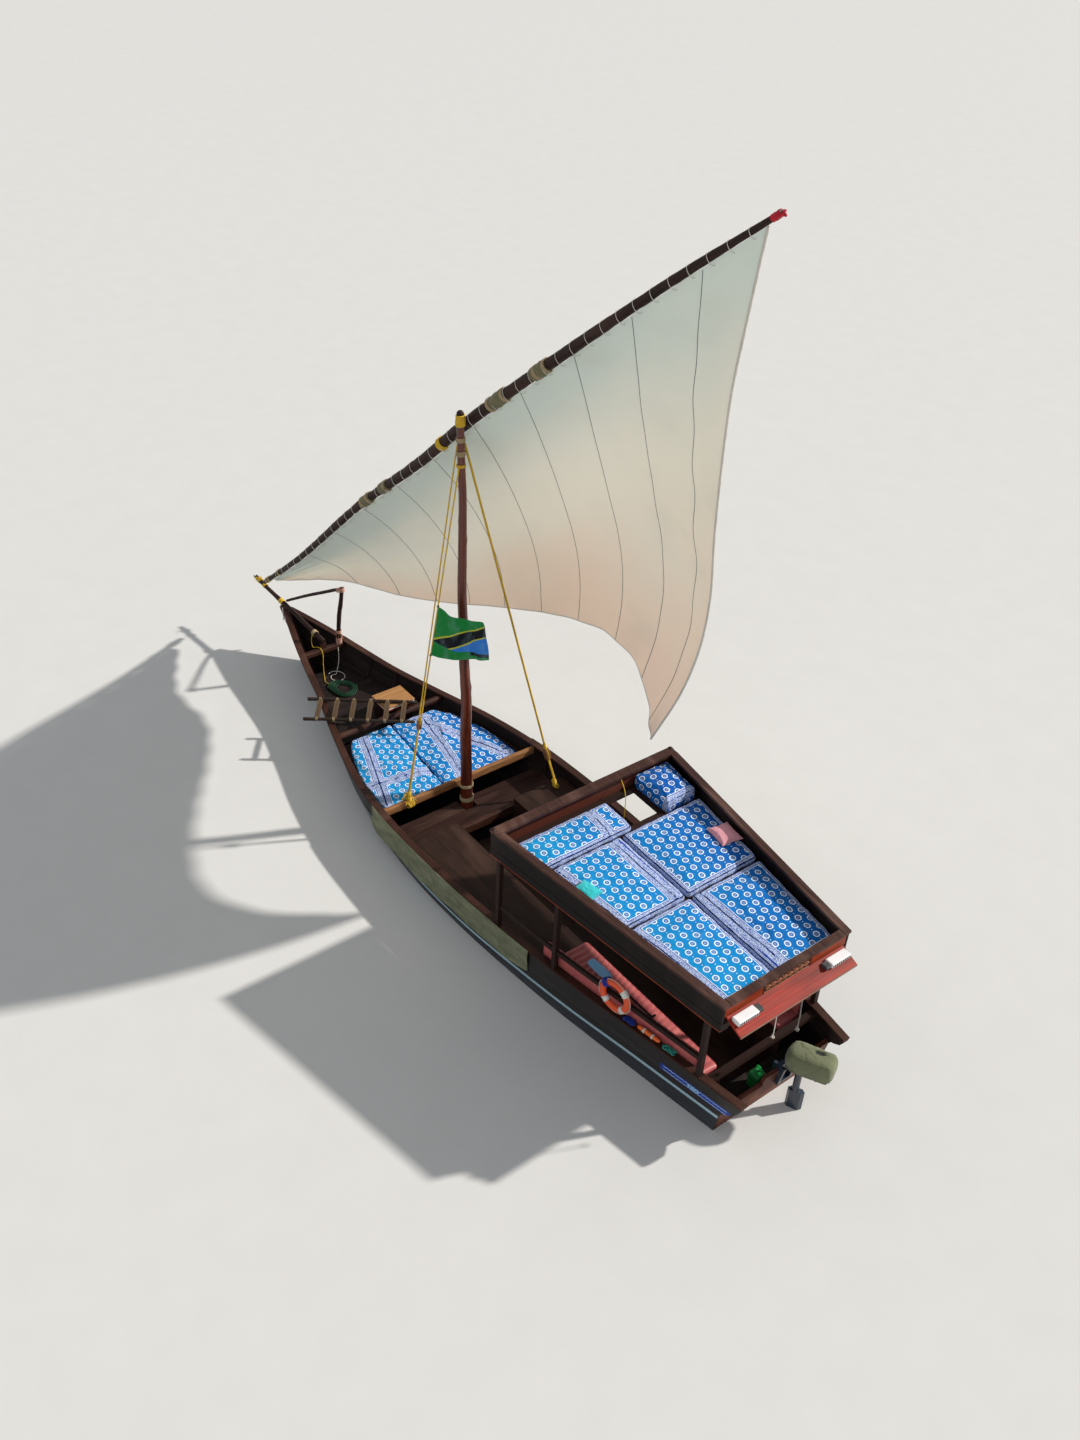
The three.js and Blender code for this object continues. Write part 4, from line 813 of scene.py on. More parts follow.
def sail_cloth():
    """Thin cotton: light comes through, cloths differ a little, creases near the corners, a painted
    highlight in the middle.
    The UV is the place along the yard and down the sail, each from 0 to 1."""
    s = Shader("sailcloth", 0.8, 0.15)
    u, v, _ = s.split(s.uv())
    soft = s.noise(s.scaled(s.uv(), 3.2, 2.2, 1), 1.0, 3, 0.5)
    stain = s.noise(s.scaled(s.place, 0.9, 0.9, 0.9), 1.0, 5, 0.6)
    warm = v * 0.75 + soft * 0.5 + (u - 0.7) * 0.25
    colour = s.ramp(warm, (0.30, (0.66, 0.75, 0.73)), (0.62, (0.84, 0.83, 0.76)),
                    (0.98, (0.90, 0.76, 0.65)))
    colour = s.mix(s.ramp(stain, (0.52, 0.0), (0.72, 0.18)), colour, (0.50, 0.50, 0.44))
    # Painted highlight: a pale patch in the middle of the sail, where the light falls brightest.
    bright = s.near(u, 0.62, 0.12, 0.22) * s.near(v, 0.42, 0.10, 0.25)
    colour = s.mix(bright * 0.6, colour, (0.95, 0.93, 0.86))
    x, _, z = s.split(s.place)
    crease = s.noise(s.scaled(s.uv(), 9, 2.5, 1), 1.0, 4, 0.6, 0.6)
    normal = s.bump(s.threads(x, z, 1300.0), 0.0004, 0.3, s.bump(crease, 0.012, 0.25))
    s.finish(colour, None, normal)
    return s.let_through(0.38, Color=s.mix(0.5, colour, (0.96, 0.89, 0.78)), Normal=normal)


def flag_cloth():
    """Green over blue with a yellow-edged black diagonal and painted sheen on its folds. The UV runs along
    the fly and up the hoist.
    """
    s = Shader("flag_cloth", 0.7, 0.25)
    u, v, _ = s.split(s.uv())
    green, black = (0.008, 0.30, 0.055), (0.006, 0.010, 0.014)
    off = v - (u * 0.62 + 0.20) + (s.noise(s.uv(), 4.0, 3, 0.5) - 0.5) * 0.05
    colour = s.mix(off > 0.0, (0.03, 0.26, 0.78), green)
    colour = s.mix(s.near(off, 0.0, 0.165, 0.004), colour, (0.60, 0.62, 0.05))
    colour = s.mix(s.near(off, 0.0, 0.125, 0.004), colour, black)
    # The corner that is folded up, below a slanting edge
    low = s.math("SUBTRACT", 0.30, u * 0.16) - v
    colour = s.mix(low > 0.0, colour, green)
    colour = s.mix((u > 0.60) * s.near(low, 0.045, 0.042, 0.004), colour, black)
    fold = s.noise(s.scaled(s.uv(), 6, 2, 1), 1.0, 4, 0.6, 0.5)
    # Painted sheen: where the folds rise, the colour turns towards a pale sky blue, as if the ridges caught
    # the light.
    colour = s.mix(s.ramp(fold, (0.45, 0.0), (0.8, 0.5)), colour, s.mix(0.6, colour, (0.45, 0.65, 0.75)))
    s.finish(colour, None, s.bump(fold, 0.01, 0.5))
    return s.let_through(0.3, Color=colour)


def woven_mat():
    """Grey-green basket weave. The UV is in metres."""
    s = Shader("woven_mat", 0.9, 0.15)
    cells = [c * 38.0 for c in s.split(s.uv())[:2]]
    over = s.math("MODULO", s.math("FLOOR", cells[0]) + s.math("FLOOR", cells[1]), 2.0)
    weave = s.mix(abs(over), *[abs(s.math("SINE", c * math.pi)) for c in cells])
    dirt = s.noise(s.scaled(s.uv(), 3, 8, 1), 1.0, 5, 0.65)
    colour = s.ramp(dirt, (0.3, (0.15, 0.165, 0.100)), (0.7, (0.32, 0.335, 0.210)))
    colour = s.mix(s.math("SUBTRACT", 1.0, weave) * 0.6, colour, (0.04, 0.05, 0.035))
    patch = s.ramp(s.noise(s.scaled(s.uv(), 1.4, 3.0, 1), 1.0, 3, 0.6), (0.55, 0.0), (0.7, 0.45))
    return s.finish(s.mix(patch, colour, (0.40, 0.41, 0.30)), None, s.bump(weave, 0.003, 0.9))


def vinyl():
    s = Shader("salmon_vinyl", specular=0.5)
    scuff = s.noise(s.place, 4.0, 5, 0.6)
    colour = s.ramp(scuff, (0.3, (0.40, 0.085, 0.092)), (0.7, (0.57, 0.145, 0.135)))
    rough = s.ramp(scuff, (0.35, 0.32), (0.7, 0.55))
    return s.finish(colour, rough, s.bump(s.voronoi(s.place, 260.0), 0.0006, 0.4))


HULL_SIDE = hull_paint()
PRINT = print_cloth()
CANVAS = sail_cloth()
FLAG = flag_cloth()
MAT = woven_mat()
VINYL = vinyl()


# Hull
STERN_END_Z = [-0.9, 0.36, 0.438, 0.485, 0.525, 0.6, 0.71, 0.75]
STERN_END_X = [-6.185, -6.395, -6.418, -6.47, -6.555, -6.63, -6.675, -6.70]
STRAKES = [0.0, 0.10, 0.20, 0.31, 0.43, 0.56, 0.68, 0.79, 0.90, 1.0]  # shares of the girth from the keel
GROOVE = 0.006
STRIPE_X = [-6.7, -5.0, -3.2, -1.4, -0.4, 0.4, 1.2, 6.5]
STRIPE_BELOW = [0.53, 0.545, 0.565, 0.59, 0.57, 0.52, 0.48, 0.46]
CAP_JOINTS = [-6.7, -4.4, -1.9, 0.511, 3.5155, 5.2, 6.52]
FRAMES_AT = (-5.7, -5.1, -4.5, -3.9, -3.2, -2.6, -2.0, -1.4, -0.8, -0.2, 0.45, 1.1, 1.7, 2.3, 3.35,
             3.9, 4.5)
SIDES = (("port", False), ("starboard", True))


def side_rows(inset, columns, groove):
    """Points of one face of the planking: rows along the hull, from the keel up, with their distance
    below the cap."""
    shares = [(0.0, 0.0)]
    for low, high in zip(STRAKES, STRAKES[1:]):
        shares += [(low + (high - low) * f, 0.0) for f in (0.05, 0.35, 0.65, 0.95)]
        shares.append((high, groove if high < 1 else 0.0))
    t, depth = np.array(shares).T
    t = 1 - (1 - t) ** 1.15
    start = np.full(len(t), -6.6)
    for _ in range(25):
        start = np.interp(skin(start, t, inset)[:, 2], STERN_END_Z, STERN_END_X)
    x = start[:, None] + (BOW_X - start[:, None]) * np.linspace(0, 1, columns)[None, :]
    P = skin(x, t[:, None], inset)
    step = np.linalg.norm(np.diff(P, axis=0), axis=-1)
    below = np.zeros(P.shape[:2])
    below[:-1] = np.cumsum(step[::-1], axis=0)[::-1]
    away = unit(np.cross(np.gradient(P, axis=1), np.gradient(P, axis=0)))
    away = np.where(away[..., 1:2] < 0, -away, away)
    return P - away * depth[:, None, None], below


def build_hull():
    outer, below = side_rows(0.0, 150, GROOVE)
    inner, inner_below = side_rows(PLANK, 150, -0.004)
    bag = Bag()
    bag.grid(outer, 0, pack(outer[..., 0], below - np.interp(outer[..., 0], STRIPE_X, STRIPE_BELOW)))
    bag.grid(inner, 1, pack(inner[..., 0], inner_below), flip=True)
    for k, flip in ((0, False), (-1, True)):
        strip = np.stack([outer[k], inner[k]])
        bag.grid(strip, 1, strip[..., :2], flip=flip)
        strip = np.stack([outer[:, k], inner[:, k]])
        bag.grid(strip, 2, strip[..., [2, 1]], flip=not flip)
    for side, flip in SIDES:
        bag.piece("planking_" + side, [HULL_SIDE, INNER, STEM_WOOD], replaces="hull_" + side,
                  slot="dark_planking", sharp=25, flip_y=flip)

    # The cap in lengths that meet in butts
    bag, eased = Bag(), 0.008
    for k, (start, end) in enumerate(zip(CAP_JOINTS, CAP_JOINTS[1:])):
        x = np.linspace(start + 0.0015, end - 0.0015, 30)
        half, top = section(x)[:2]
        out, low = half + 0.02, top - CAP
        into = np.maximum(half - PLANK - 0.06, 0.06)
        ring = [(into + eased, low), (out - eased, low), (out, low + eased), (out, top - eased),
                (out - eased, top), (into + eased, top), (into, top - eased), (into, low + eased)]
        uv = pack(x[:, None], np.linspace(0, 0.35, 8)[None, :] + k * 1.7)
        bag.loft(np.stack([pack(x, y, z) for y, z in ring], 1), 0, uv, flip=True)
    nodes = {"port": ("gunwale_port", "gunwale_port_mid", "gunwale_port_fore"),
             "starboard": "gunwale_starboard"}
    for side, flip in SIDES:
        bag.piece("cap_" + side, BROWN, replaces=nodes[side], slot="brown_wood", flip_y=flip)
    dress(PLANKS, 0.01, "keel")
    dress(STEM_WOOD, 0.012, "stem")
    dress(TRANSOM_WOOD, 0.006, "transom")


def build_frames():
    """Frames against the inside of the planking, from the sole up to the cap."""
    bag = Bag()
    t = np.linspace(0.62, 0.985, 14)
    for x in FRAMES_AT:
        low = np.interp(x, [0, 0.1, 0.9, 0.91, 2.89, 2.9], [0.44, 0.23, 0.23, 0.39, 0.39, 0.31])
        corners = ((-0.028, 0.001), (0.028, 0.001), (0.024, 0.038), (-0.024, 0.038))
        rows = np.stack([skin(np.full(14, x + dx), t, PLANK + inset) for dx, inset in corners], 1)
        rows = rows[(rows[:, 0, 2] > low) & (rows[:, 3, 2] > low)]
        if len(rows) > 2:
            bag.loft(rows, 0, rows[..., [2, 0]])
    bag.mirrored().piece("frames", INNER, slot="dark_planking")


def deck_boards(name, node, x0, x1, top, width, material, seed, slot, gap=None):
    """Boards laid across the hull, each cut to the planking at its ends. `gap` is a place that they leave
    free, as x from and to and its half breadth."""
    rng = np.random.default_rng(seed)
    bag = Bag()
    count = max(1, round((x1 - x0) / width))
    low = top - 0.035
    for k in range(count):
        a = x0 + (x1 - x0) * k / count + 0.002
        b = x0 + (x1 - x0) * (k + 1) / count - 0.002
        drop = rng.uniform(0, 0.004)
        ya, yb = [inner_half(x, low, PLANK + 0.006) for x in (a, b)]
        spans = [(-ya, -yb, yb, ya)]
        if gap and a < gap[1] and b > gap[0]:
            spans = [(-ya, -yb, -gap[2], -gap[2]), (gap[2], gap[2], yb, ya)]
        for span in spans:
            bag.prism(list(zip((a, b, b, a), span)), low, top - drop)
            bag.uvs[-1] = bag.points[-1][:, [1, 0]] + (k * 3.3, k * 0.71)
    return bag.piece(name, material, replaces=node, slot=slot)


def build_decks():
    deck_boards("mid_boards", "mid_deck", 0.07, 0.725, 0.22, 0.13, DECK, 3, "brown_wood",
                (0.48, 0.71, 0.115))
    deck_boards("bow_boards", "bow_deck", 0.905, 2.86, 0.38, 0.15, DECK, 4, "brown_wood")
    deck_boards("fore_boards", "foredeck", 3.0, 5.12, 0.30, 0.15, INNER, 5, "dark_planking")
    deck_boards("aft_boards", "aft_deck", -6.29, -5.96, 0.10, 0.11, INNER, 6, "dark_planking")
    dress(BENCH_WOOD, 0.005, "sole", "bench_port", "bench_starboard")
    # The edge of the mid deck, higher than its boards
    half = inner_half(0.11, 0.10) - 0.012
    Bag().box((0.07, -half, 0.10), (0.15, half, 0.26), edge=0.008).piece("mid_beam", BROWN,
                                                                         slot="brown_wood")

    # Half log that carries the port stay
    half = inner_half(0.81, 0.50) - 0.01
    path = pack(0.81, np.linspace(-half, half, 60), 0.54)
    flat = np.minimum(1, 0.52 / np.maximum(np.abs(np.cos(around(20, closed=False))), 1e-3)) * 1.05
    log = Bag().tube(path, 0.073, 20, shape=rough_radius(60, 20, 0.10, 5, 3) * flat[None, :])
    log.piece("stay_log", TAN, replaces="main_thwart", slot="tan_wood")
    half = inner_half(2.93, 0.546) - 0.012
    bag = Bag()
    branch(bag, [(2.93, -half, 0.546), (2.93, 0, 0.55), (2.93, half, 0.546)], [0.058, 0.06, 0.058], 20,
           0.06, 0.08, 8, 2)
    bag.piece("bow_log", BROWN, replaces="bow_thwart", slot="red_wood")
    dress(POLE_WOOD, 0.008, "stern_beam")

    # Box on the foredeck: plywood lid over striped boards
    bag = Bag()
    bag.box((3.03, -0.53, 0.303), (3.46, 0.0, 0.63), 0, 0.006)
    for k, slot in enumerate((1, 2, 1)):
        z = 0.615 + 0.018 * k
        bag.box((3.0 + 0.01 * k, -0.56 + 0.008 * k, z), (3.49 - 0.008 * k, 0.03, z + 0.016), slot)
    bag.box((3.0, -0.56, 0.671), (3.49, 0.03, 0.6867), 3)
    bag.piece("bow_box", [DECK, RED_BEAM, WHITE_PAINT, PLY], replaces="bow_locker", slot="tan_wood")


# Rig
MAST_FOOT, MAST_HEAD = vec(0.571, 0, -0.4777), vec(0.900, 0, 6.920)
MAST_ALONG = unit(MAST_HEAD - MAST_FOOT)


def mast_at(z):
    share = (z - MAST_FOOT[2]) / (MAST_HEAD[2] - MAST_FOOT[2])
    return MAST_FOOT + (MAST_HEAD - MAST_FOOT) * share, 0.105 - 0.055 * share


def build_mast():
    z = np.linspace(MAST_FOOT[2], 6.86, 150)
    path, radius = mast_at(z[:, None])
    wander = np.clip((z - 0.6) / 1.5, 0, 1) * np.clip((6.5 - z) / 1.0, 0, 1)
    path[:, 0] += wander * (0.010 * np.sin(z * 1.9) + 0.006 * np.sin(z * 4.3 + 1))
    path[:, 1] += wander * (0.012 * np.sin(z * 1.5 + 2) + 0.005 * np.sin(z * 5.1))
    pole = Bag().tube(path, radius[:, 0] * 0.985, 28, shape=rough_radius(150, 28, 0.055, 11, 9))
    pole.piece("mast_pole", MAST_WOOD, replaces="mast", slot="red_wood", sharp=60)

    # Cap and bindings at the head, and rope wraps where the mast passes the deck
    top = mast_at(6.86)[0]
    cap = Bag().tube([top, top + MAST_ALONG * 0.03, top + MAST_ALONG * 0.055], [0.052, 0.05, 0.03], 20)
    wraps = Bag()
    for bag, height, turns, thick, slot in ((cap, 6.80, 6, 0.009, 1), (cap, 6.50, 4, 0.008, 2),
                                            (cap, 6.30, 5, 0.007, 2),
                                            (cap, 6.12, 3, 0.007, 1), (wraps, 0.34, 4, 0.009, 0),
                                            (wraps, 0.60, 3, 0.009, 0)):
        at, radius = mast_at(height)
        lashing(bag, at, MAST_ALONG, radius, turns, thick, slot)
    cap.piece("mast_cap", [POLE_WOOD, YELLOW_ROPE, TAN_ROPE], slot="red_wood")
    wraps.piece("mast_wraps", TAN_ROPE, slot="rope")


def stay_head(z, fore, port):
    at, radius = mast_at(z)
    return at + vec(fore, port, 0) * (radius + 0.0113)


def pulley(bag, at, along, size=1.0):
    """A wooden block: two cheeks round a sheave."""
    side = unit(np.cross(along, vec(0, 1, 0)))
    other = np.cross(side, along)
    outline = vec(*CHEEK) * size
    for y in (-0.026, 0.014):
        cheek = Bag().prism(outline, y * size, (y + 0.012) * size)
        p = at + cheek.points[0][:, [0, 2, 1]] @ np.array([side, other, along])
        bag.add(p, [face[::-1] for face in cheek.faces], 1, cheek.uvs[0])
    bag.tube(oval(at, side * 0.024 * size, along * 0.024 * size, around(25)), 0.011 * size, 8, 2, cap=False)
    bag.tube([at - other * 0.034 * size, at + other * 0.034 * size], 0.008 * size, 8, 2)


def frayed(bag, at, count, length, slot, seed):
    """Loose rope ends that spread from a knot and lie down."""
    rng = np.random.default_rng(seed)
    for _ in range(count):
        way = rng.uniform(-1, 1, 3)
        way[2] = rng.uniform(0.1, 0.8)
        way = unit(way)
        reach = length * rng.uniform(0.6, 1.0)
        a = vec(*at) + way * 0.02
        bend = a + way * reach * 0.5 + vec(0, 0, 0.01)
        end = a + way * vec(1, 1, 0) * reach + vec(0, 0, -0.015)
        bag.tube(Line([a, bend, end]).cut(0.012), rng.uniform(0.003, 0.0055), 6, slot)


CHEEK = [(-0.026, -0.085), (0.026, -0.085), (0.040, -0.04), (0.040, 0.04), (0.026, 0.085), (-0.026, 0.085),
         (-0.040, 0.04), (-0.040, -0.04)]
PORT_FOOT = vec(0.808, 0.985, 0.5803)
PORT_HEADS = stay_head(6.400, 0.95, 0.32), stay_head(6.120, -0.5, 0.87)
PORT_BLOCK = PORT_HEADS[0] * 0.24 + PORT_FOOT * 0.76
PORT_ENDS = [PORT_BLOCK + vec(dx, 0, 0) for dx in (0.024, -0.024)]


def build_stays():
    up = vec(0, 0, 1)
    bag = Bag()
    for head, end in zip(PORT_HEADS, PORT_ENDS):
        bag.rope([head, end], 0.0115)
    down = unit(PORT_FOOT - PORT_BLOCK)
    pulley(bag, PORT_BLOCK, down)
    lashing(bag, PORT_BLOCK - down * 0.10, down, 0.018, 5)
    low = PORT_FOOT + up * 0.10
    for dx, dy in ((0.014, 0.010), (-0.014, 0.010), (0.0, -0.014), (0.02, -0.01)):
        bag.rope([PORT_BLOCK + down * 0.06 + vec(dx * 0.6, dy * 0.6, 0), low + vec(dx, dy, 0)], 0.009)
    # Lashing round the log: turns of yellow rope and a hitch above it
    ring = around(30)
    bag.loops([pack(0.81 + np.cos(ring) * 0.098,
                    PORT_FOOT[1] + off + 0.012 * np.sin(ring * 2 + k), 0.54 + np.sin(ring) * 0.056)
               for k, off in enumerate((-0.045, -0.022, 0.0, 0.022, 0.045))], 0.009)
    lashing(bag, low + up * 0.03, up, 0.022, 7, 0.008)
    lashing(bag, low - up * 0.06, up, 0.03, 4, 0.009)
    frayed(bag, low, 16, 0.17, 0, 4)
    frayed(bag, PORT_FOOT + vec(-0.03, 0.05, 0.03), 10, 0.15, 0, 6)
    bag.piece("port_stay", [YELLOW_ROPE, TAN, IRON], replaces="stay_port", slot="rope")

    foot, head = vec(-0.1, -1.29, 0.4303), stay_head(6.440, 0, -1)
    block, down = head + (foot - head) * 0.885, unit(foot - head)
    bag = Bag()
    for dx in (0.012, -0.012):
        bag.rope([head + vec(dx, 0, 0), block - down * 0.05 + vec(dx, 0, 0)], 0.0125)
    pulley(bag, block, down, 1.35)
    ring = around(40)
    side = unit(np.cross(down, vec(0, 1, 0)))
    bag.loops([oval(block, side * 0.036 * k, down * 0.10 * k, ring) for k in (1.0, 1.2, 1.4)], 0.009)
    lashing(bag, block - down * 0.15, down, 0.016, 6, 0.007)
    for dx, dy in ((0.014, 0.0), (-0.012, 0.010), (-0.004, -0.014)):
        bag.rope([block + down * 0.10 + vec(dx, dy, 0), foot + vec(dx, dy, 0.04)], 0.0105)
    lashing(bag, foot - down * 0.10, down, 0.024, 7, 0.008)
    bag.loops([oval(foot + vec(dx, 0, 0.036), vec(0, 0.04, 0), up * 0.03, ring)
               for dx in (-0.03, 0.0, 0.03)], 0.008)
    bag.piece("starboard_stay", [YELLOW_ROPE, TAN, IRON], replaces="stay_starboard", slot="rope")


def yard_at(t):
    """The middle, the direction and the radius of the yard at one share of its length."""
    return yard_line.at(t), yard_line.along(t), float(yard_radius(t))


def build_yard():
    share = np.linspace(0, 1, 300)
    # Three poles joined by long scarfs: a step in thickness at each joint
    step = np.ones(300)
    for at in (0.30, 0.36, 0.62, 0.70):
        step *= 1 - 0.10 * np.exp(-((share - at) / 0.010) ** 2)
    poles = Bag().tube(yard_line.at(share), yard_radius(share) * 0.97, 20,
                       shape=rough_radius(300, 20, 0.09, 21, 14) * step[:, None])
    poles.piece("yard_poles", POLE_WOOD, "yard", replaces="yard", slot="pole_wood", sharp=60)
    # Cloth wraps over the splices and at the peak
    bag = Bag()
    for at, half, slot in ((0.338, 0.012, 0), (0.385, 0.009, 0), (0.635, 0.013, 0), (0.705, 0.012, 0),
                           (0.996, 0.005, 1)):
        t = np.linspace(at - half, min(1, at + half), 14)
        swell = 1.12 + 0.10 * np.sin(np.linspace(0, np.pi, 14))
        bag.tube(yard_line.at(t), yard_radius(t) * swell, 20, slot,
                 shape=rough_radius(14, 20, 0.16, int(at * 100)))
    peak = yard_line.at(1.0)
    rng = np.random.default_rng(2)
    for _ in range(5):
        way = unit(rng.uniform(-1, 1, 3))
        bag.tube(Line([peak, peak + way * 0.03, peak + way * 0.045 - vec(0, 0, 0.02)]).cut(0.008),
                 0.014, 8, 1)
    bag.piece("yard_wraps", [OLIVE, RED_CLOTH], "yard", slot="pole_wood")
    bag = Bag()
    bindings = [(at, 1.14, 6, 0.005) for at in (0.055, 0.33, 0.39, 0.345, 0.62, 0.645, 0.70, 0.715)]
    for at, scale, turns, thick in bindings + [(0.012, 1.02, 5, 0.007), (0.02, 1.02, 5, 0.007)]:
        middle, along, radius = yard_at(at)
        lashing(bag, middle, along, radius * scale, turns, thick)
    bag.piece("yard_bindings", TAN_ROPE, "yard", slot="rope")


def build_sail():
    across, down = 220, 90
    u, v = np.linspace(0, 1, across), np.linspace(0, 1, down)
    P = sail_points(u, v)
    normal = unit(np.cross(np.gradient(P, axis=0), np.gradient(P, axis=1)))
    U, V = np.meshgrid(u, v, indexing="ij")
    # Creases that fan out from the peak and the tack, slack along the foot, puckers along the yard
    waves = 0.035 * np.exp(-((1 - U) / 0.10) ** 2) * np.sin(V * 44) * np.sin(np.pi * V)
    waves += 0.022 * np.exp(-(U / 0.09) ** 2) * np.sin(V * 30 + 1) * np.sin(np.pi * V)
    waves *= 1 - np.exp(-((1 - U) / 0.045) ** 2)
    waves += 0.014 * np.exp(-((1 - V) / 0.05) ** 2) * np.sin(U * 95)
    waves += 0.006 * np.exp(-(V / 0.03) ** 2) * np.cos(U * 42 * np.pi)
    waves += 0.02 * np.exp(-((1 - V) / 0.12) ** 2 - ((1 - U) / 0.06) ** 2) * np.sin(U * 160)
    P = P + normal * waves[..., None]
    bag = Bag()
    area = bag.leaf(P, normal * 0.00125, np.stack([U, V], -1))
    sail = bag.piece("sail_cloth", CANVAS, "yard", replaces="sail", slot="canvas", sharp=80)

    def on_sail(us, vs):
        i, j = np.asarray(us) * (across - 1), np.asarray(vs) * (down - 1)
        a, b = np.minimum(i.astype(int), across - 2), np.minimum(j.astype(int), down - 2)
        p, q = (i - a)[:, None], (j - b)[:, None]
        return (P[a, b] * (1 - p) * (1 - q) + P[a + 1, b] * p * (1 - q) + P[a, b + 1] * (1 - p) * q
                + P[a + 1, b + 1] * p * q)

    bag = Bag()
    w = np.linspace(0.004, 0.997, 80)
    for c in (0.93, 0.84, 0.755, 0.665, 0.575, 0.485, 0.395, 0.305, 0.215, 0.125):
        us = np.full(80, c)
        for _ in range(12):
            us = c + 0.115 * w ** 2.4 * np.sqrt(np.clip(4 * us * (1 - us), 0, 1))
        bag.tube(on_sail(np.clip(us, 0, 1), w), 0.0048, 5)
    seams = bag.piece("sail_seams", SEAM_THREAD, "yard", slot="canvas")
    bag = Bag()
    bag.rope(on_sail(np.ones(160), np.linspace(0, 1, 160)), 0.017, 0.12)
    bag.rope(on_sail(np.linspace(0, 1, 200), np.ones(200)), 0.009, 0.09)
    hem = bag.piece("sail_ropes", WHITE_ROPE, "yard", slot="rope")
    # Lashings from the head of the sail round the yard
    bag = Bag()
    for at in np.linspace(0.02, 0.985, 44):
        t = SAIL_FROM + (SAIL_TO - SAIL_FROM) * at
        middle, along, radius = yard_at(t)
        low = yard_down(t)
        bag.loops([oval(middle + low * 0.020, np.cross(along, low) * (radius + 0.006),
                        low * (radius + 0.028), around(26))], 0.0042, 5)
    bag.piece("sail_lashings", WHITE_ROPE, "yard", slot="rope")


def build_parrel():
    bag = Bag()
    at, radius = mast_at(6.74)
    lashing(bag, at, MAST_ALONG, radius * 1.10, 5, 0.009, 0, 0.09)
    t = np.linspace(0.40, 0.52, 200)
    middle, along, radius = yard_at(t[int(np.argmin(np.abs(yard_line.at(t)[:, 2] - 6.74)))])
    lashing(bag, middle, along, radius, 6, 0.009, 0, 0.12)
    bag.piece("parrel_ropes", YELLOW_ROPE, "yard", replaces="parrel", slot="rope")


def build_flag():
    head, end, aft = PORT_HEADS[1], PORT_ENDS[1], vec(0.0113, 0, 0)
    hoist = [head + (end - head) * (head[2] - z) / (head[2] - end[2]) - aft for z in (4.0, 3.2)]
    fly = [vec(-0.20, 0.25, 4.16), vec(-0.27, 0.25, 3.62)]
    share, up = np.linspace(0, 1, 70)[:, None], np.linspace(0, 1, 50)[None, :]
    top, low = [a * (1 - share)[..., None] + b * share[..., None] for a, b in zip(hoist, fly)]
    P = top * up[..., None] + low * (1 - up)[..., None]
    ease = np.minimum(1, 2 * share)
    P[..., 1] += 0.06 * np.sin(7 * share) * ease + 0.022 * np.sin(17 * share + 3 * up) * ease
    P[..., 2] += 0.012 * np.sin(9 * up + 5 * share) * ease - 0.06 * np.sin(np.pi * share)
    normal = unit(np.cross(np.gradient(P, axis=0), np.gradient(P, axis=1)))
    bag = Bag()
    area = bag.leaf(P, normal * 0.001, pack(share, up))
    flag = bag.piece("flag_sheet", FLAG, replaces="flag", slot="flag_cloth", sharp=80)
    bag = Bag()
    for at in hoist:
        lashing(bag, at + aft, (0, 0.13, 1), 0.012, 4, 0.003)
    bag.piece("flag_ties", GREEN_ROPE, slot="rope")


# Padded pieces
def rounded(outline, radius, per=6):
    """The outline of (x, y) pairs, counter-clockwise, with its corners rounded."""
    outline = np.asarray(outline, float)
    if signed_area(outline) < 0:
        outline = outline[::-1]
    points = []
    for k, at in enumerate(outline):
        before, after = outline[k - 1] - at, outline[(k + 1) % len(outline)] - at
        reach = min(radius, np.linalg.norm(before) / 2.2, np.linalg.norm(after) / 2.2)
        for t in np.linspace(0, 1, per):
            points.append(at + unit(before) * reach * (1 - t) ** 2 + unit(after) * reach * t ** 2)
    return np.array(points)


def spread_evenly(points, count):
    closed = np.vstack([points, points[:1]])
    run = np.r_[0, np.cumsum(np.linalg.norm(np.diff(closed, axis=0), axis=1))]
    t = np.linspace(0, run[-1], count, endpoint=False)
    return pack(*[np.interp(t, run, closed[:, i]) for i in (0, 1)])


def field(points, seed, scale, octaves=3):
    """Smooth noise at an array of points."""
    shift = Vector((seed * 7.3, seed * 3.1, seed * 1.7))
    flat = np.asarray(points).reshape(-1, 3)
    out = [noise.fractal(Vector(p) * scale + shift, 1.0, 2.0, octaves) for p in flat]
    return np.array(out).reshape(points.shape[:-1])


def places(piece):
    out = np.empty(len(piece.data.vertices) * 3)
    piece.data.vertices.foreach_get("co", out)
    return out.reshape(-1, 3)


def inflate(piece, cap, floor, pressure=4.0, frames=20):
    """Cloth under pressure and without gravity. No point moves further than cap or goes below its floor."""
    before = places(piece)
    modifier = piece.modifiers.new("cloth", "CLOTH")
    settings = modifier.settings
    settings.quality = 4
    settings.mass = 0.25
    settings.tension_stiffness = settings.compression_stiffness = 12
    settings.bending_stiffness = 0.4
    settings.use_pressure = True
    settings.uniform_pressure_force = pressure
    settings.effector_weights.gravity = 0
    modifier.collision_settings.use_collision = False
    scene = bpy.context.scene
    for step in range(1, frames + 1):
        scene.frame_set(step)
    shaped = piece.evaluated_get(bpy.context.evaluated_depsgraph_get()).to_mesh()
    after = np.empty(before.size)
    shaped.vertices.foreach_get("co", after)
    piece.modifiers.remove(modifier)
    scene.frame_set(1)
    move = after.reshape(-1, 3) - before
    far = np.linalg.norm(move, axis=1, keepdims=True)
    place = before + move * np.minimum(1, cap / np.maximum(far, 1e-9))
    place[:, 2] = np.maximum(place[:, 2], floor(place[:, 0]))
    piece.data.vertices.foreach_set("co", place.ravel())
    piece.data.update()


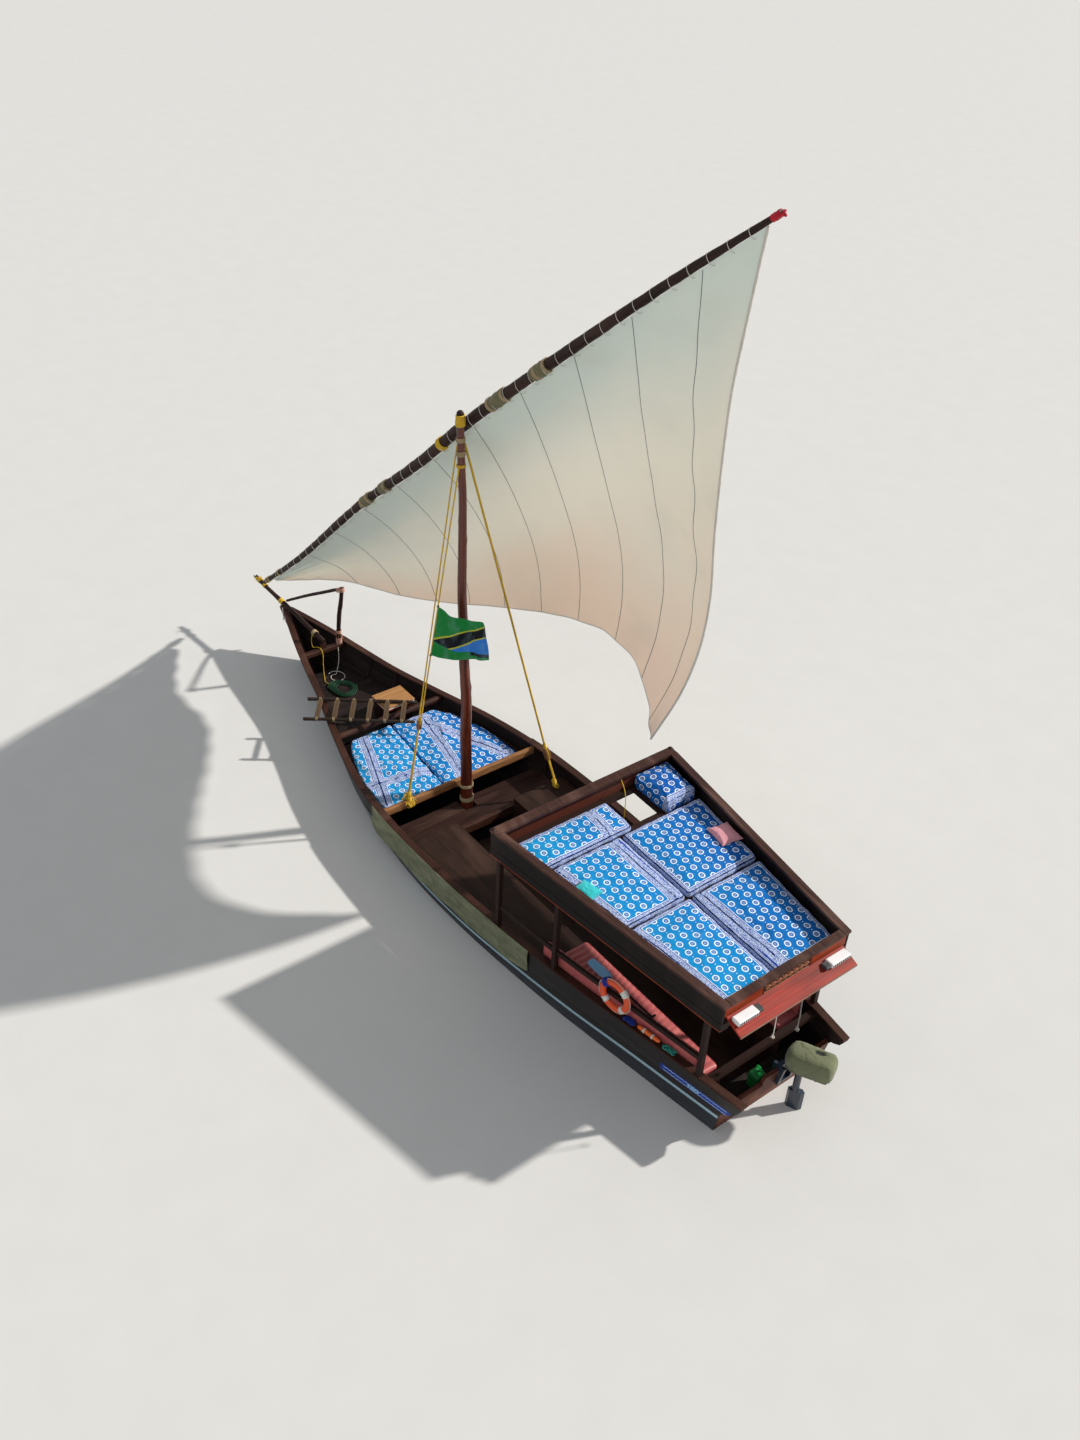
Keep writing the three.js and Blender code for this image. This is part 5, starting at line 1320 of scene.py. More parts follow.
def pad(name, outline, base, height, replaces, seed, crown, corner, wrinkle=0.010, lift=None, turn=0.0,
        cuts=(), hem=0.02, count=150):
    """A padded piece over a plan outline: pulled-in sides and a crowned, creased top.
    `cuts` are places where two cloths meet, as (x, y, direction x, direction y)."""
    ring = spread_evenly(rounded(outline, corner), count)
    centre = ring.mean(0)
    along = unit(np.roll(ring, -1, 0) - np.roll(ring, 1, 0))
    inward = pack(-along[:, 1], along[:, 0])
    levels = [(0.034, 0.0), (0.014, 0.010)]
    levels += [(0.015 - 0.014 * math.sin(math.pi * s), height * (0.08 + 0.78 * s))
               for s in (0.1, 0.3, 0.5, 0.7, 0.9)]
    levels += [(0.013, height - 0.014), (0.024, height - 0.005), (0.042, height)]
    rows = [np.column_stack([ring + inward * inset, np.full(count, z)]) for inset, z in levels]
    sides = len(rows)
    top = rows[-1][:, :2]
    for share in np.linspace(0, 0.985, 26)[1:]:
        bulge = crown * (1 - (1 - min(1, share * 1.8)) ** 2)
        rows.append(np.column_stack([top + (centre - top) * share, np.full(count, height + bulge)]))
    P = np.stack(rows)
    flat = P * vec(1, 1, 0.3)
    puff = field(flat, seed, 3.0) * 0.8 + field(flat, seed + 5, 10.0, 2) * 0.3
    ridge = np.clip(1 - np.abs(field(flat, seed + 11, 2.4, 2)) * 3.4, 0, 1) ** 3
    P[..., 2] += wrinkle * (puff + ridge - 0.4) * np.clip((np.arange(len(P))[:, None] - 6) / 3, 0, 1)
    ripple = 0.004 * np.sin(around(count, closed=False) * 17) + 0.007 * field(P[4], seed + 3, 8.0, 2)
    P[1:sides - 1, :, :2] += (inward * ripple[:, None])[None]
    # UV: plan on the top, run on over the edge down the sides
    step = np.linalg.norm(np.diff(P, axis=0), axis=-1)
    out = np.zeros(P.shape[:2])
    for k in range(sides - 2, -1, -1):
        out[k] = out[k + 1] + step[k]
    uv = P[..., :2] - inward[None] * out[..., None]
    inside = np.full(P.shape[:2], 9.0)
    sharp = rounded(outline, 0.01, 2)
    for a, b in zip(sharp, np.roll(sharp, -1, 0)):
        d = unit(b - a)
        inside = np.minimum(inside, (P[..., 0] - a[0]) * -d[1] + (P[..., 1] - a[1]) * d[0])
    edge = np.where(out > 0, hem - out, hem + inside)
    for x, y, dx, dy in cuts:
        edge = np.minimum(edge, np.abs((uv[..., 0] - x) * -dy + (uv[..., 1] - y) * dx) / math.hypot(dx, dy))
    c, s = math.cos(turn), math.sin(turn)
    under = lift or (lambda x: 0 * x)
    P[..., 2] += base + under(P[..., 0])
    piece = Bag().loft(P, 0, uv @ vec((c, s), (-s, c))).piece(name, PRINT, replaces=replaces,
                                                              slot="blue_print", sharp=75)
    layer = piece.data.attributes.new("edge", "FLOAT", "POINT")
    layer.data.foreach_set("value", edge.astype(np.float32).ravel())
    inflate(piece, 0.008, lambda x: base + under(x))


def pillow(name, corners, material, slot, replaces, seed):
    """A square pillow: two sheets sewn at the rim, ears at its corners, blown up as cloth."""
    count, tall, pull = 64, 0.085, 0.045
    base = PAD_BASE + MATTRESS + 0.0006
    A, B = np.meshgrid(*[np.linspace(-1, 1, count)] * 2, indexing="ij")
    U, V = A * (1 - pull * (1 - B ** 2)), B * (1 - pull * (1 - A ** 2))
    plan = sum(((1 + su * U) * (1 + sv * V) / 4)[..., None] * vec(*c)
               for (su, sv), c in zip(QUARTERS, corners))
    rim = np.maximum(np.abs(A), np.abs(B))
    swell = ((1 - np.abs(A) ** 2.6) * (1 - np.abs(B) ** 2.6)) ** 0.55
    seam = tall * (0.26 + 0.16 * rim ** 3)
    crease = 0.006 * field(pack(U * 0.2, V * 0.2, 0), seed, 14.0, 2)
    lift = roof_z(plan[..., 0]) + base
    over = pack(plan[..., 0], plan[..., 1], lift + seam + swell * (tall - seam) + crease * swell)
    under = pack(plan[..., 0], plan[..., 1], lift + seam * (1 - np.minimum(1, swell * 1.7)) + 0.001)
    edge = rim > 0.9999
    under[edge] = over[edge]
    index = np.arange(count * count).reshape(count, count)
    lower = np.where(edge, index, index + count * count)
    points = np.concatenate([over.reshape(-1, 3), under.reshape(-1, 3)])
    faces = []
    for i, j in product(range(count - 1), repeat=2):
        faces.append((index[i, j], index[i + 1, j], index[i + 1, j + 1], index[i, j + 1]))
        faces.append((lower[i, j], lower[i, j + 1], lower[i + 1, j + 1], lower[i + 1, j]))
    used, order = np.unique(np.array(faces)), np.full(len(points), -1)
    order[used] = np.arange(len(used))
    bag = Bag().add(points[used], order[np.array(faces)])
    piece = bag.piece(name, material, replaces=replaces, slot=slot, sharp=80)
    inflate(piece, 0.016, lambda x: roof_z(x) + base + 0.0005)
    ring = np.concatenate([index[:-1, 0], index[-1, :-1], index[:0:-1, -1], index[0, :0:-1]])
    line = places(piece)[order[ring]]
    Bag().tube(np.vstack([line, line[:1]]), 0.0026, 6, cap=False).piece(name + "_seam", material, slot=slot)
    smooth = piece.modifiers.new("smooth", "SUBSURF")
    smooth.levels = smooth.render_levels = 1
    smooth.boundary_smooth = "PRESERVE_CORNERS"


# Roof
MATTRESS = 0.110
PAD_BASE = -0.3397
ROOF_X = (-6.26, -2.23)
ROOF_Z = (2.31, 2.48)
ROOF_HALF = (1.12, 1.65)
FALL = (ROOF_Z[1] - ROOF_Z[0]) / (ROOF_X[1] - ROOF_X[0])


def roof_z(x):
    return ROOF_Z[0] + FALL * (np.asarray(x) - ROOF_X[0])


def roof_half(x):
    return np.interp(x, ROOF_X, ROOF_HALF)


def tapered(x0, x1, inset, side):
    """Plan of a strip along one side of the roof between two insets from its edge."""
    a, b = inset
    return [(x, side * (roof_half(x) - d)) for x, d in ((x0, a), (x1, a), (x1, b), (x0, b))]


def across_plan(x0, x1, half):
    return [(x0, -half), (x1, -half), (x1, half), (x0, half)]


def build_roof():
    bag = Bag()
    joints = [-6.255, -4.86, -3.5, -2.38]
    for side in (-1, 1):
        for a, b in zip(joints, joints[1:]):
            for inset in ((0.002, 0.060), (0.062, 0.119)):
                bag.prism(tapered(a + 0.0015, b - 0.0015, inset, side), -0.043, -0.001, 0, 0.004, roof_z)
    for x0, x1 in ((-6.258, -6.205), (-6.203, -6.152), (-2.378, -2.306), (-2.304, -2.233)):
        half = roof_half(x0) - (0.122 if x1 < -3 else 0.004)
        bag.prism(across_plan(x0, x1, half), -0.043, 0.001, 0, 0.004, roof_z)
    # Dark rounded knobs where the front board meets the sides
    for side in (-1, 1):
        at = vec(-2.262, side * 1.60, roof_z(-2.262) - 0.024)
        bag.tube([at + vec(0, 0, dz) for dz in (-0.018, 0.026, 0.036)], [0.036, 0.038, 0.026], 20, 1)
    bag.piece("roof_boards", [ROOF_WOOD, POLE_WOOD], replaces="roof_rim", slot="red_wood")

    # Three planks a side, each in two lengths, over a bright lower edge
    for name, side in (("port", 1), ("starboard", -1)):
        bag = Bag()
        x0, x1 = -6.24, -2.25
        for top, low, joint, inset in ((-0.0455, -0.175, -4.1, 0.020), (-0.178, -0.310, -5.0, 0.023),
                                       (-0.313, -0.432, -3.5, 0.020)):
            for a, b in ((x0, joint - 0.001), (joint + 0.001, x1)):
                bag.prism(tapered(a, b, (inset, 0.055), side), low, top, lift=roof_z)
        bag.prism(tapered(x0, x1, (0.020, 0.055), side), -0.450, -0.434, 1, lift=roof_z)
        bag.piece("fascia_" + name + "_planks", [FASCIA, RED_BEAM], replaces="fascia_" + name,
                  slot="dark_planking")

    dress(DARK_RED, 0.006, "fascia_front")
    build_after_fascia()
    dress(DECK, 0.004, "roof_floor")
    dress(POLE_WOOD, 0.009, "side_frame_port", "side_frame_starboard")
    build_shelf()


def build_after_fascia():
    """Plain panels of orange wood and a carved one between them; the carving is painted lighter than its
    panel, as a painted highlight on the relief.
    """
    bag = Bag()
    z, half = float(roof_z(-6.2225)), float(roof_half(-6.24)) - 0.056
    for a, b, slot in ((-half, -0.42, 0), (-0.40, 0.40, 2), (0.42, half, 0)):
        bag.box((-6.239, a + 0.002, z - 0.222), (-6.206, b - 0.002, z - 0.046), slot, 0.006)
    for y in (-0.41, 0.41):
        bag.box((-6.2395, y - 0.008, z - 0.222), (-6.206, y + 0.008, z - 0.046), 1, 0.003)
    # Relief of leaves that curl out of flowers, between two mouldings
    face, mid = -6.2395, z - 0.134
    vine = np.linspace(-0.385, 0.385, 120)
    for shift in (0, math.pi):
        bag.tube(pack(face, vine, mid + 0.034 * np.sin(vine * 2 * math.pi / 0.193 + shift)), 0.0055, 6, 3)
    for cy in np.arange(-3.5, 4) * 0.0965:
        for k in range(6):
            turn, reach = math.pi * k / 3 + 0.5, 0.030 if k % 2 else 0.040
            leaf = [(face - out, cy + r * math.cos(turn + bend), mid + r * math.sin(turn + bend))
                    for out, r, bend in ((0.001, 0.008, 0), (0.004, 0.6 * reach, 0.25), (0, reach, 0.7))]
            bag.tube(Line(leaf).cut(0.008), 0.0062, 6, 3)
        bag.tube([(face - out, cy, mid) for out in (0.001, 0.006, 0.008)], [0.012, 0.010, 0.005], 12, 3)
        for way in (-1, 1):
            curl = np.linspace(0, 1.5 * math.pi, 20)
            r = 0.019 * (1 - curl / 7.0)
            bag.tube(pack(face, cy + 0.048 + r * np.cos(curl + way),
                          mid + way * (0.046 + r * np.sin(curl))), 0.0045, 5, 3)
    for edge in (-0.0745, 0.0745):
        bag.box((face - 0.003, -0.395, mid + edge - 0.006), (face + 0.01, 0.395, mid + edge + 0.006),
                3, 0.003)
    bag.piece("fascia_aft_panels", [RED_BEAM, ROOF_WOOD, DECK, CARVING], replaces="fascia_aft",
              slot="red_wood")


def build_shelf():
    """Shelf under the after edge, in three boards, with a lamp at each end."""
    fore, drop = -6.2403, 0.12 / 0.27

    def on_shelf(x):
        return 2.095 + (np.asarray(x) - fore) * drop

    bag = Bag()
    for a, b in ((0.0, 0.088), (0.090, 0.178), (0.180, 0.270)):
        bag.prism(across_plan(fore - b, fore - a, 1.03), -0.030, -0.001, lift=on_shelf)
    low = on_shelf(fore - 0.11) - 0.005

    def lamp_part(after, ahead, y0, y1, z0, z1, slot, edge):
        bag.box((fore - after, y0, low + z0), (fore - ahead, y1, low + z1), slot, edge)

    for y0, y1, inner in ((0.64, 0.99, 0.595), (-0.99, -0.64, -0.595)):
        lamp_part(0.178, 0.042, y0, y1, 0, 0.072, 1, 0.012)
        lamp_part(0.1805, 0.17, y0 + 0.012, y1 - 0.012, 0.012, 0.058, 2, 0.004)
        lamp_part(0.165, 0.055, inner - 0.042, inner + 0.042, 0.004, 0.058, 2, 0.010)
        for y in np.linspace(y0 + 0.03, y1 - 0.03, 9):
            lamp_part(0.1825, 0.178, y - 0.004, y + 0.004, 0.014, 0.056, 1, 0.001)
    edge_z = on_shelf(fore - 0.2695)
    bag.box((fore - 0.2712, -1.03, edge_z - 0.031), (fore - 0.2690, 1.03, edge_z + 0.001), 3, 0.0008)
    bag.piece("shelf_boards", [SHELF_WOOD, LAMP_WHITE, LAMP_DARK, PALE_EDGE], replaces="stern_shelf",
              slot="red_wood")


ROOF_PADS = [
    # number, x from and to, y from and to at the after end and at the fore end, meeting places of cloths
    (1, -3.060, -2.425, -0.230, 1.470, -0.260, 1.555, [(-2.7, 0.12, 1, -0.12)]),
    (2, -4.460, -3.085, 0.035, 1.285, 0.035, 1.465, [(-3.3, 1.18, 1, 0.08), (-3.7, 0.20, 1, 0.02)]),
    (3, -4.460, -3.085, -1.285, 0.010, -1.465, 0.010, []),
    (4, -6.090, -4.485, 0.015, 1.070, 0.015, 1.280, [(-5.3, 0.95, 1, 0.10)]),
    (5, -6.090, -4.485, -1.070, -0.010, -1.280, -0.010, [(-5.2, -0.16, 1, 0.03)]),
]
BOW_PAD_BASE = 0.3803
PORT_BOW_PAD = [[0.960, 0.215], [2.830, 0.060], [2.830, 0.860], [2.500, 1.040], [1.800, 1.250],
                [0.960, 1.330]]
STARBOARD_BOW_PAD = [[0.960, 0.190], [0.960, -1.320], [1.800, -1.250], [2.500, -1.040], [2.830, -0.820],
                     [2.830, 0.035]]


def build_soft():
    for k, x0, x1, a0, a1, f0, f1, cuts in ROOF_PADS:
        pad("roof_pad_%d" % k, [(x0, a0), (x1, f0), (x1, f1), (x0, a1)], PAD_BASE, 0.098,
            "mattress_roof_%d" % k, k, 0.022, 0.06, lift=roof_z, cuts=cuts, turn=(k % 3 - 1) * 0.02)
    pad("roof_bolster", [(-3.050, -1.440), (-2.297, -1.525), (-2.297, -0.860), (-3.050, -0.860)], PAD_BASE,
        0.200, "bolster", 9, 0.045, 0.07, 0.012, lift=roof_z, turn=0.1, hem=0.5, cuts=[(-3.045, -1.0, 0, 1)])
    for name, x, y, long, wide, turn, material, seed in (
            ("turquoise", -3.71, 1.13, 0.35, 0.29, 0.2, TURQUOISE, 37),
            ("pink", -3.91, -1.168, 0.40, 0.38, -0.13, PINK, 40)):
        c, s = math.cos(turn) / 2, math.sin(turn) / 2
        plan = [(x + c * a * long - s * b * wide, y + s * a * long + c * b * wide) for a, b in QUARTERS]
        pillow("pillow_%s_pad" % name, plan, material, name + "_cloth", "pillow_" + name, seed)
    pad("bow_pad_port", PORT_BOW_PAD, BOW_PAD_BASE, 0.098, "mattress_bow_port", 31, 0.018, 0.05, 0.022,
        cuts=[(1.9, 0.95, 1, -0.35), (1.45, 0.5, 0.2, 1)], turn=0.12, hem=0.5)
    pad("bow_pad_starboard", STARBOARD_BOW_PAD, BOW_PAD_BASE, 0.098, "mattress_bow_starboard", 37, 0.018,
        0.05, 0.026, cuts=[(1.9, -0.75, 1, 0.45), (1.6, -0.3, 1, -0.2)], turn=-0.2, hem=0.5)

    # Bench cushions of salmon vinyl: a seat and a back a side, sewn in channels across
    count, channels, round_by = 150, 27, 0.022
    x = np.linspace(-5.88, -3.18, count)
    half = section(x)[0]
    groove = np.abs(np.sin(np.linspace(0, np.pi * channels, count))) ** 0.5
    ends = np.minimum(1, np.minimum(x - x[0], x[-1] - x) / 0.03)
    puff = (groove * 0.010 - 0.010) * ends - 0.012 * (1 - ends)
    bag = Bag()
    for y0, y1, z0, z1, in_y, in_z in ((0.56 + 0 * x, half - 0.12, 0.4303, 0.53, 0.004, 0.010),
                                       (half - 0.215, half - 0.112, 0.535, 0.957, 0.006, 0.008)):
        def edge(outer, high, degrees):
            """A row along the cushion, on the round of one of its four long edges."""
            a = math.radians(degrees)
            y = (y1 - round_by if outer else y0 + round_by) + (round_by + puff) * math.cos(a)
            z = (z1 - round_by if high else z0 + round_by) + (round_by + puff * high) * math.sin(a)
            return pack(x, y, z)

        rows = []
        corners = ((1, 1), (0, 1), (0, 0), (1, 0))
        for k, corner in enumerate(corners):
            rows += [edge(*corner, a) for a in np.linspace(90 * k, 90 * k + 90, 4)]
            start, end = rows[-1], edge(*corners[(k + 1) % 4], 90 * k + 90)
            for f in np.linspace(0, 1, 9)[1:-1]:
                row = start * (1 - f) + end * f
                crown = 0.012 * math.sin(math.pi * f) * groove
                row[:, 2 if k == 0 else 1] += crown * (1, -1, 0, 0)[k]
                rows.append(row)
        rows = np.stack(rows, 1)
        bag.loft(rows, 0, pack(x[:, None], np.linspace(0, 1.6, rows.shape[1])[None]), flip=True)
        # Piping along the front edge
        bag.tube(pack(x[3:-3], y0[3:-3] + in_y, z1 - in_z), 0.006, 6)
    for side, flip in SIDES:
        piece = bag.piece("bench_cushions_" + side, VINYL, replaces="cushions_" + side, slot="pink_vinyl",
                          sharp=75, flip_y=flip)


# Gear
LADDER_AT = vec(3.980, 1.020, 0.719)
LADDER_ALONG = vec(-0.6, -0.8, 0)
LADDER_ACROSS = vec(-0.8, 0.6, 0)
LADDER_WIDE = 0.58


def build_ladder():
    def on_ladder(s, w, z=0.0):
        return LADDER_AT + LADDER_ALONG * s + LADDER_ACROSS * w + vec(0, 0, z)

    bag = Bag()
    for w, seed in ((0, 3), (LADDER_WIDE, 8)):
        points = [on_ladder(s, w + 0.006 * math.sin(s * 5 + seed)) for s in np.linspace(0, 1.9, 9)]
        branch(bag, points, [0.031, 0.028, 0.030, 0.027], 16, 0.03, 0.10, seed, 8)
    for s in (0.23, 0.52, 0.81, 1.10, 1.39, 1.68):
        a, b = on_ladder(s, -0.012, 0.004), on_ladder(s, LADDER_WIDE + 0.012, 0.004)
        x, y, _ = along = unit(b - a)
        bag.box((0, -0.043, -0.010), (float(np.linalg.norm(b - a)), 0.043, 0.012), 1,
                at=(a, [along, (-y, x, 0), (0, 0, 1)]))
        for w in (0, LADDER_WIDE):
            lashing(bag, on_ladder(s, w), LADDER_ALONG, 0.030, 3, 0.004, 2, 0.05)
    bag.piece("ladder_poles", [BARE_POLE, SLAT, TAN_ROPE], replaces="ladder", slot="tan_wood")


def build_bow_gear():
    # Gallows: a beam across the bow, a crooked post and a bar led forward to the spar
    bag = Bag()
    half = min(0.455, inner_half(5.24, 0.655) - 0.006)
    bag.box((5.143, -half, 0.658), (5.247, half, 0.747), 1, 0.010)
    branch(bag, [(5.196, -0.326, 0.74), (5.222, -0.345, 1.02), (5.225, -0.375, 1.320),
                 (5.190, -0.405, 1.62),
                 (5.170, -0.420, 1.885)], [0.042, 0.040, 0.040, 0.036], 18, 0.03, 0.10, 5, 5)
    branch(bag, [(5.150, -0.428, 1.893), (5.60, -0.330, 1.63), (6.15, -0.200, 1.31),
                 (6.700, -0.085, 0.968)],
           [0.030, 0.031, 0.028, 0.025], 16, 0.03, 0.10, 6, 4)
    bag.box((5.192, -0.058, 0.747), (5.238, 0.058, 0.842), 1, 0.006)
    for at, along, radius, turns in (((5.17, -0.42, 1.86), (0.1, 0.1, 1), 0.044, 6),
                                     ((5.2, -0.33, 0.80), (0, 0, 1), 0.044, 9),
                                     ((5.222, -0.345, 0.97), (0, 0, 1), 0.042, 5),
                                     ((5.23, -0.39, 1.83), (1, 0.2, -0.55), 0.034, 5)):
        lashing(bag, at, along, radius, turns, slot=2)
    frayed(bag, (5.20, -0.33, 0.86), 6, 0.12, 2, 3)
    bag.piece("gallows_poles", [POLE_WOOD, BROWN, PINK_ROPE], replaces="gallows", slot="pole_wood")

    # Bow spar with a forked tip
    bag = Bag()
    heel, tip = vec(5.182, 0, 0.893), vec(7.808, 0, 0.999)
    run = tip - heel
    points = [heel + run * s + vec(0, 0.006 * math.sin(s * 9), 0.004 * math.sin(s * 7))
              for s in np.linspace(0, 0.975, 9)]
    branch(bag, points, [0.049, 0.046, 0.041, 0.035], 18, 0.04, 0.08, 7, 6)
    end = tip - run * 0.055
    for y in (-1, 1):
        branch(bag, [end + vec(0, y * 0.004, 0), end + vec(0.07, y * 0.018, 0.012),
                     tip + vec(-0.004, y * 0.026, 0.010)],
               [0.026, 0.020, 0.014], 12, 0.012, 0.08, 9 + y, 0)
    for x, radius, turns, slot in ((7.62, 0.038, 7, 1), (7.40, 0.038, 5, 1), (5.50, 0.049, 6, 2),
                                   (6.74, 0.042, 8, 1)):
        lashing(bag, heel + run * (x - heel[0]) / run[0], run, radius, turns, 0.007, slot)
    frayed(bag, (7.62, 0.02, 1.03), 6, 0.11, 1, 8)
    bag.piece("bow_pole", [POLE_WOOD, YELLOW_ROPE, TAN_ROPE], replaces="bow_spar", slot="pole_wood")
    bag = Bag()
    for x in (6.56, 6.64):
        bag.box((x, -0.049, 0.60), (x + 0.022, 0.049, 0.88))
    bag.piece("stem_bands", WHITE_PAINT, slot="rope")


def build_life_ring():
    """Ring that leans on the port rail, with white bands, a grab rope and a strap."""
    def rail_out(x):
        return float(section(x)[0]) - 0.015

    slope = math.atan2(rail_out(-3.5) - rail_out(-6.0), 2.5)
    centre = vec(-4.630, rail_out(-4.630) + 0.0482, 1.185)
    big, fat, quarter = 0.210, 0.048, math.pi / 2
    ahead, up = vec(math.cos(slope), math.sin(slope), 0), vec(0, 0, 1)
    outward = vec(-ahead[1], ahead[0], 0)
    n, m = 96, 24
    a, b = around(n, closed=False), around(m, closed=False)
    radial = oval(0, ahead, up, a)
    ring = (centre + radial[:, None] * (big + fat * np.cos(b)[None, :, None])
            + outward * (0.046 * np.sin(b))[None, :, None])
    bag = Bag()
    bag.grid(ring, 0, pack(a[:, None], b[None]), close_u=True, close_v=True, flip=True)
    for i in range(n):
        middle = (a[i] + math.pi / n - math.pi / 4) % quarter
        if middle < 0.19 or middle > quarter - 0.19:
            bag.slots[i * m:(i + 1) * m] = [1] * m
    for k in range(4):
        start = math.pi / 4 + k * quarter
        for side in (-0.10, 0.10):
            at = oval(centre, ahead * big, up * big, vec(start + side))[0]
            lashing(bag, at, oval(0, ahead, up, vec(start + quarter))[0], fat, 2, 0.0035, 2, 0.010)
        share = np.linspace(0, 1, 40)
        reach = big + fat - 0.002 + 0.014 * np.sin(share * np.pi) ** 0.6
        path = centre + oval(0, ahead, up, start + share * quarter) * reach[:, None] + outward * 0.012
        bag.rope(path, 0.0045, 0.04, slot=2)
    bag.piece("ring_buoy", [ORANGE, WHITE_PAINT, WHITE_ROPE], replaces="life_ring", slot="orange_plastic",
              sharp=60)
    bag = Bag()
    at = quarter - 0.75
    radial, onward = oval(0, ahead, up, vec(at, at + quarter))
    bag.loops([oval(centre + radial * big + onward * shift, outward * 0.056, radial * 0.058, around(30))
               for shift in np.linspace(-0.04, 0.04, 6)], 0.008, 8)
    bag.piece("ring_strap", BLUE_ROPE, slot="rope")


def build_can():
    bag = Bag()
    ring = spread_evenly(rounded([(-6.286, 0.008), (-6.094, 0.008), (-6.094, 0.192),
                                  (-6.286, 0.192)], 0.035), 60)
    mid = ring.mean(0)
    levels = ((0.1003, 0.90), (0.106, 0.97), (0.120, 1.0), (0.16, 1.0), (0.168, 0.955), (0.176, 1.0),
              (0.23, 1.0), (0.238, 0.955), (0.246, 1.0), (0.32, 1.0), (0.345, 0.96), (0.362, 0.86),
              (0.372, 0.70), (0.374, 0.30))
    bag.loft(np.stack([pack(*(mid + (ring - mid) * s).T, z) for z, s in levels]))
    bag.tube([(-6.25, 0.13, 0.36), (-6.25, 0.13, 0.395)], 0.026, 20)
    bag.tube([(-6.25, 0.13, z) for z in (0.392, 0.406, 0.409)], [0.030, 0.030, 0.025], 24, 1)
    grip = Line([(-6.12, 0.06, 0.362), (-6.13, 0.06, 0.405), (-6.19, 0.065, 0.418), (-6.225, 0.07, 0.372)])
    bag.tube(grip.cut(0.012), 0.013, 10, 1)
    bag.piece("jerrycan", [GREEN_CAN, BRIGHT_GREEN], replaces="fuel_can", slot="green_plastic")


def build_motor():
    """Hood under a cloth cover, with a recess in its top, and the parts below it."""
    steer, lean, count = vec(-6.65, -0.125), 0.46, 110
    side = vec([-440, -55], [-440, -110], [-395, -185], [60, -205], [180, -160], [220, -50]) / 1000
    ring = spread_evenly(rounded(np.vstack([side, side[::-1] * vec(1, -1)]), 0.06), count)
    turn = vec((math.cos(lean), math.sin(lean)), (-math.sin(lean), math.cos(lean)))
    # Columns: scale along and across, height, shift along
    levels = [(0.93, 0.94, 0.812, 0), (0.955, 0.965, 0.850, 0), (0.985, 0.98, 0.895, 0),
              (0.99, 0.985, 0.95, 0), (0.975, 0.94, 1.0, -0.004), (0.945, 0.865, 1.042, -0.008),
              (0.89, 0.72, 1.075, -0.013),
              (0.78, 0.52, 1.094, -0.018), (0.55, 0.34, 1.100, -0.020), (0.25, 0.15, 1.102, -0.020)]
    rows = [pack(*(steer + (ring * vec(along, across) + vec(shift, 0)) @ turn).T, z)
            for along, across, z, shift in levels]
    P = np.stack([a + (b - a) * f for a, b in zip(rows, rows[1:]) for f in (0, 0.34, 0.67)] + [rows[-1]])
    away = unit(P - vec(*steer, 0.95))
    fold = np.clip(1 - np.abs(field(P * vec(1, 1, 0.45), 4, 5.5, 2)) * 4, 0, 1) ** 3
    soft = field(P, 7, 3.0)
    off = (P[..., :2] - vec(-6.800, -0.262)) @ turn[::-1].T
    recess = (np.clip(1.35 - (off[..., 0] / 0.040) ** 2 - (off[..., 1] / 0.085) ** 2, 0, 1)
              * (P[..., 2] > 1.03))
    creases = np.clip(1 - np.abs(np.sin(P @ vec(9, 17, 16))) * 5, 0, 1)
    P = P + away * (0.010 * fold + 0.008 * soft - 0.006 - 0.007 * creases)[..., None]
    P[..., 2] -= 0.026 * recess
    bag = Bag().loft(P, 0, P[..., [0, 2]])
    bag.slots = [int(len(face) == 4 and recess.ravel()[list(face)].mean() > 0.55) for face in bag.faces]
    hood = bag.piece("hood_cover", [HOOD_CLOTH, HOOD_RECESS], "motor_leg", replaces="motor_hood",
                     slot="motor_cover", sharp=70)
    dress(MOTOR_NAVY, 0.004, "motor_clamp", "motor_swivel", "motor_leg")
    dress(IRON, 0.006, "motor_engine")
    dress(STEEL, 0.003, "propeller", flat=False)


def build_rope_heap():
    """A rope laid down on the foredeck: a flat coil outwards and a second one inwards on top of it."""
    thick, inner, out_turns, in_turns, step = 0.022, 0.125, 4.0, 3.0, 0.034
    t = np.linspace(0, out_turns + 0.35 + in_turns, 300)
    outer = inner + step * out_turns
    radius = np.interp(t, [0, out_turns, out_turns + 0.35, t[-1]],
                       [inner, outer, outer, outer - step * in_turns])
    level = np.interp(t, [0, out_turns - 0.1, out_turns + 0.35, t[-1]], [0, 0, 1, 1])
    angle = 2 * np.pi * t
    radius = radius * (1 + 0.12 * np.sin(2 * angle + 1) + 0.07 * np.sin(3 * angle))
    path = pack(4.42 + radius * np.cos(angle), 0.06 + radius * np.sin(angle) * 0.95,
                0.3005 + thick * (0.52 + 1.03 * level))
    heap = Bag().rope(path, thick / 2 / 1.06, 0.08).piece("rope_heap", GREEN_ROPE, replaces="rope_coil",
                                                          slot="green_rope")


def hanging(name, points, thick, material, knot=0.0):
    """A limp rope from its first point, with a knot at its end."""
    path = Line(points).at(np.linspace(0, 1, 36))
    piece = Bag().rope(path, thick / 2 / 1.06, thick * 3.4).piece(name, material, slot="rope")
    extra = []
    if knot:
        end, way = path[-1], unit(path[-1] - path[-2])
        first, second = [side[-1] for side in sides_of(path[-3:])]
        turn = around(40)[:, None]
        bag = Bag()
        bag.loops([end + way * knot * 0.2 + first * (np.sin(turn) + 2 * np.sin(2 * turn)) * knot * 0.3
                   + second * (np.cos(turn) - 2 * np.cos(2 * turn)) * knot * 0.3
                   - way * np.sin(3 * turn) * knot * 0.35], thick * 0.5, 8)
        extra = [bag.piece(name + "_knot", material, slot="rope")]


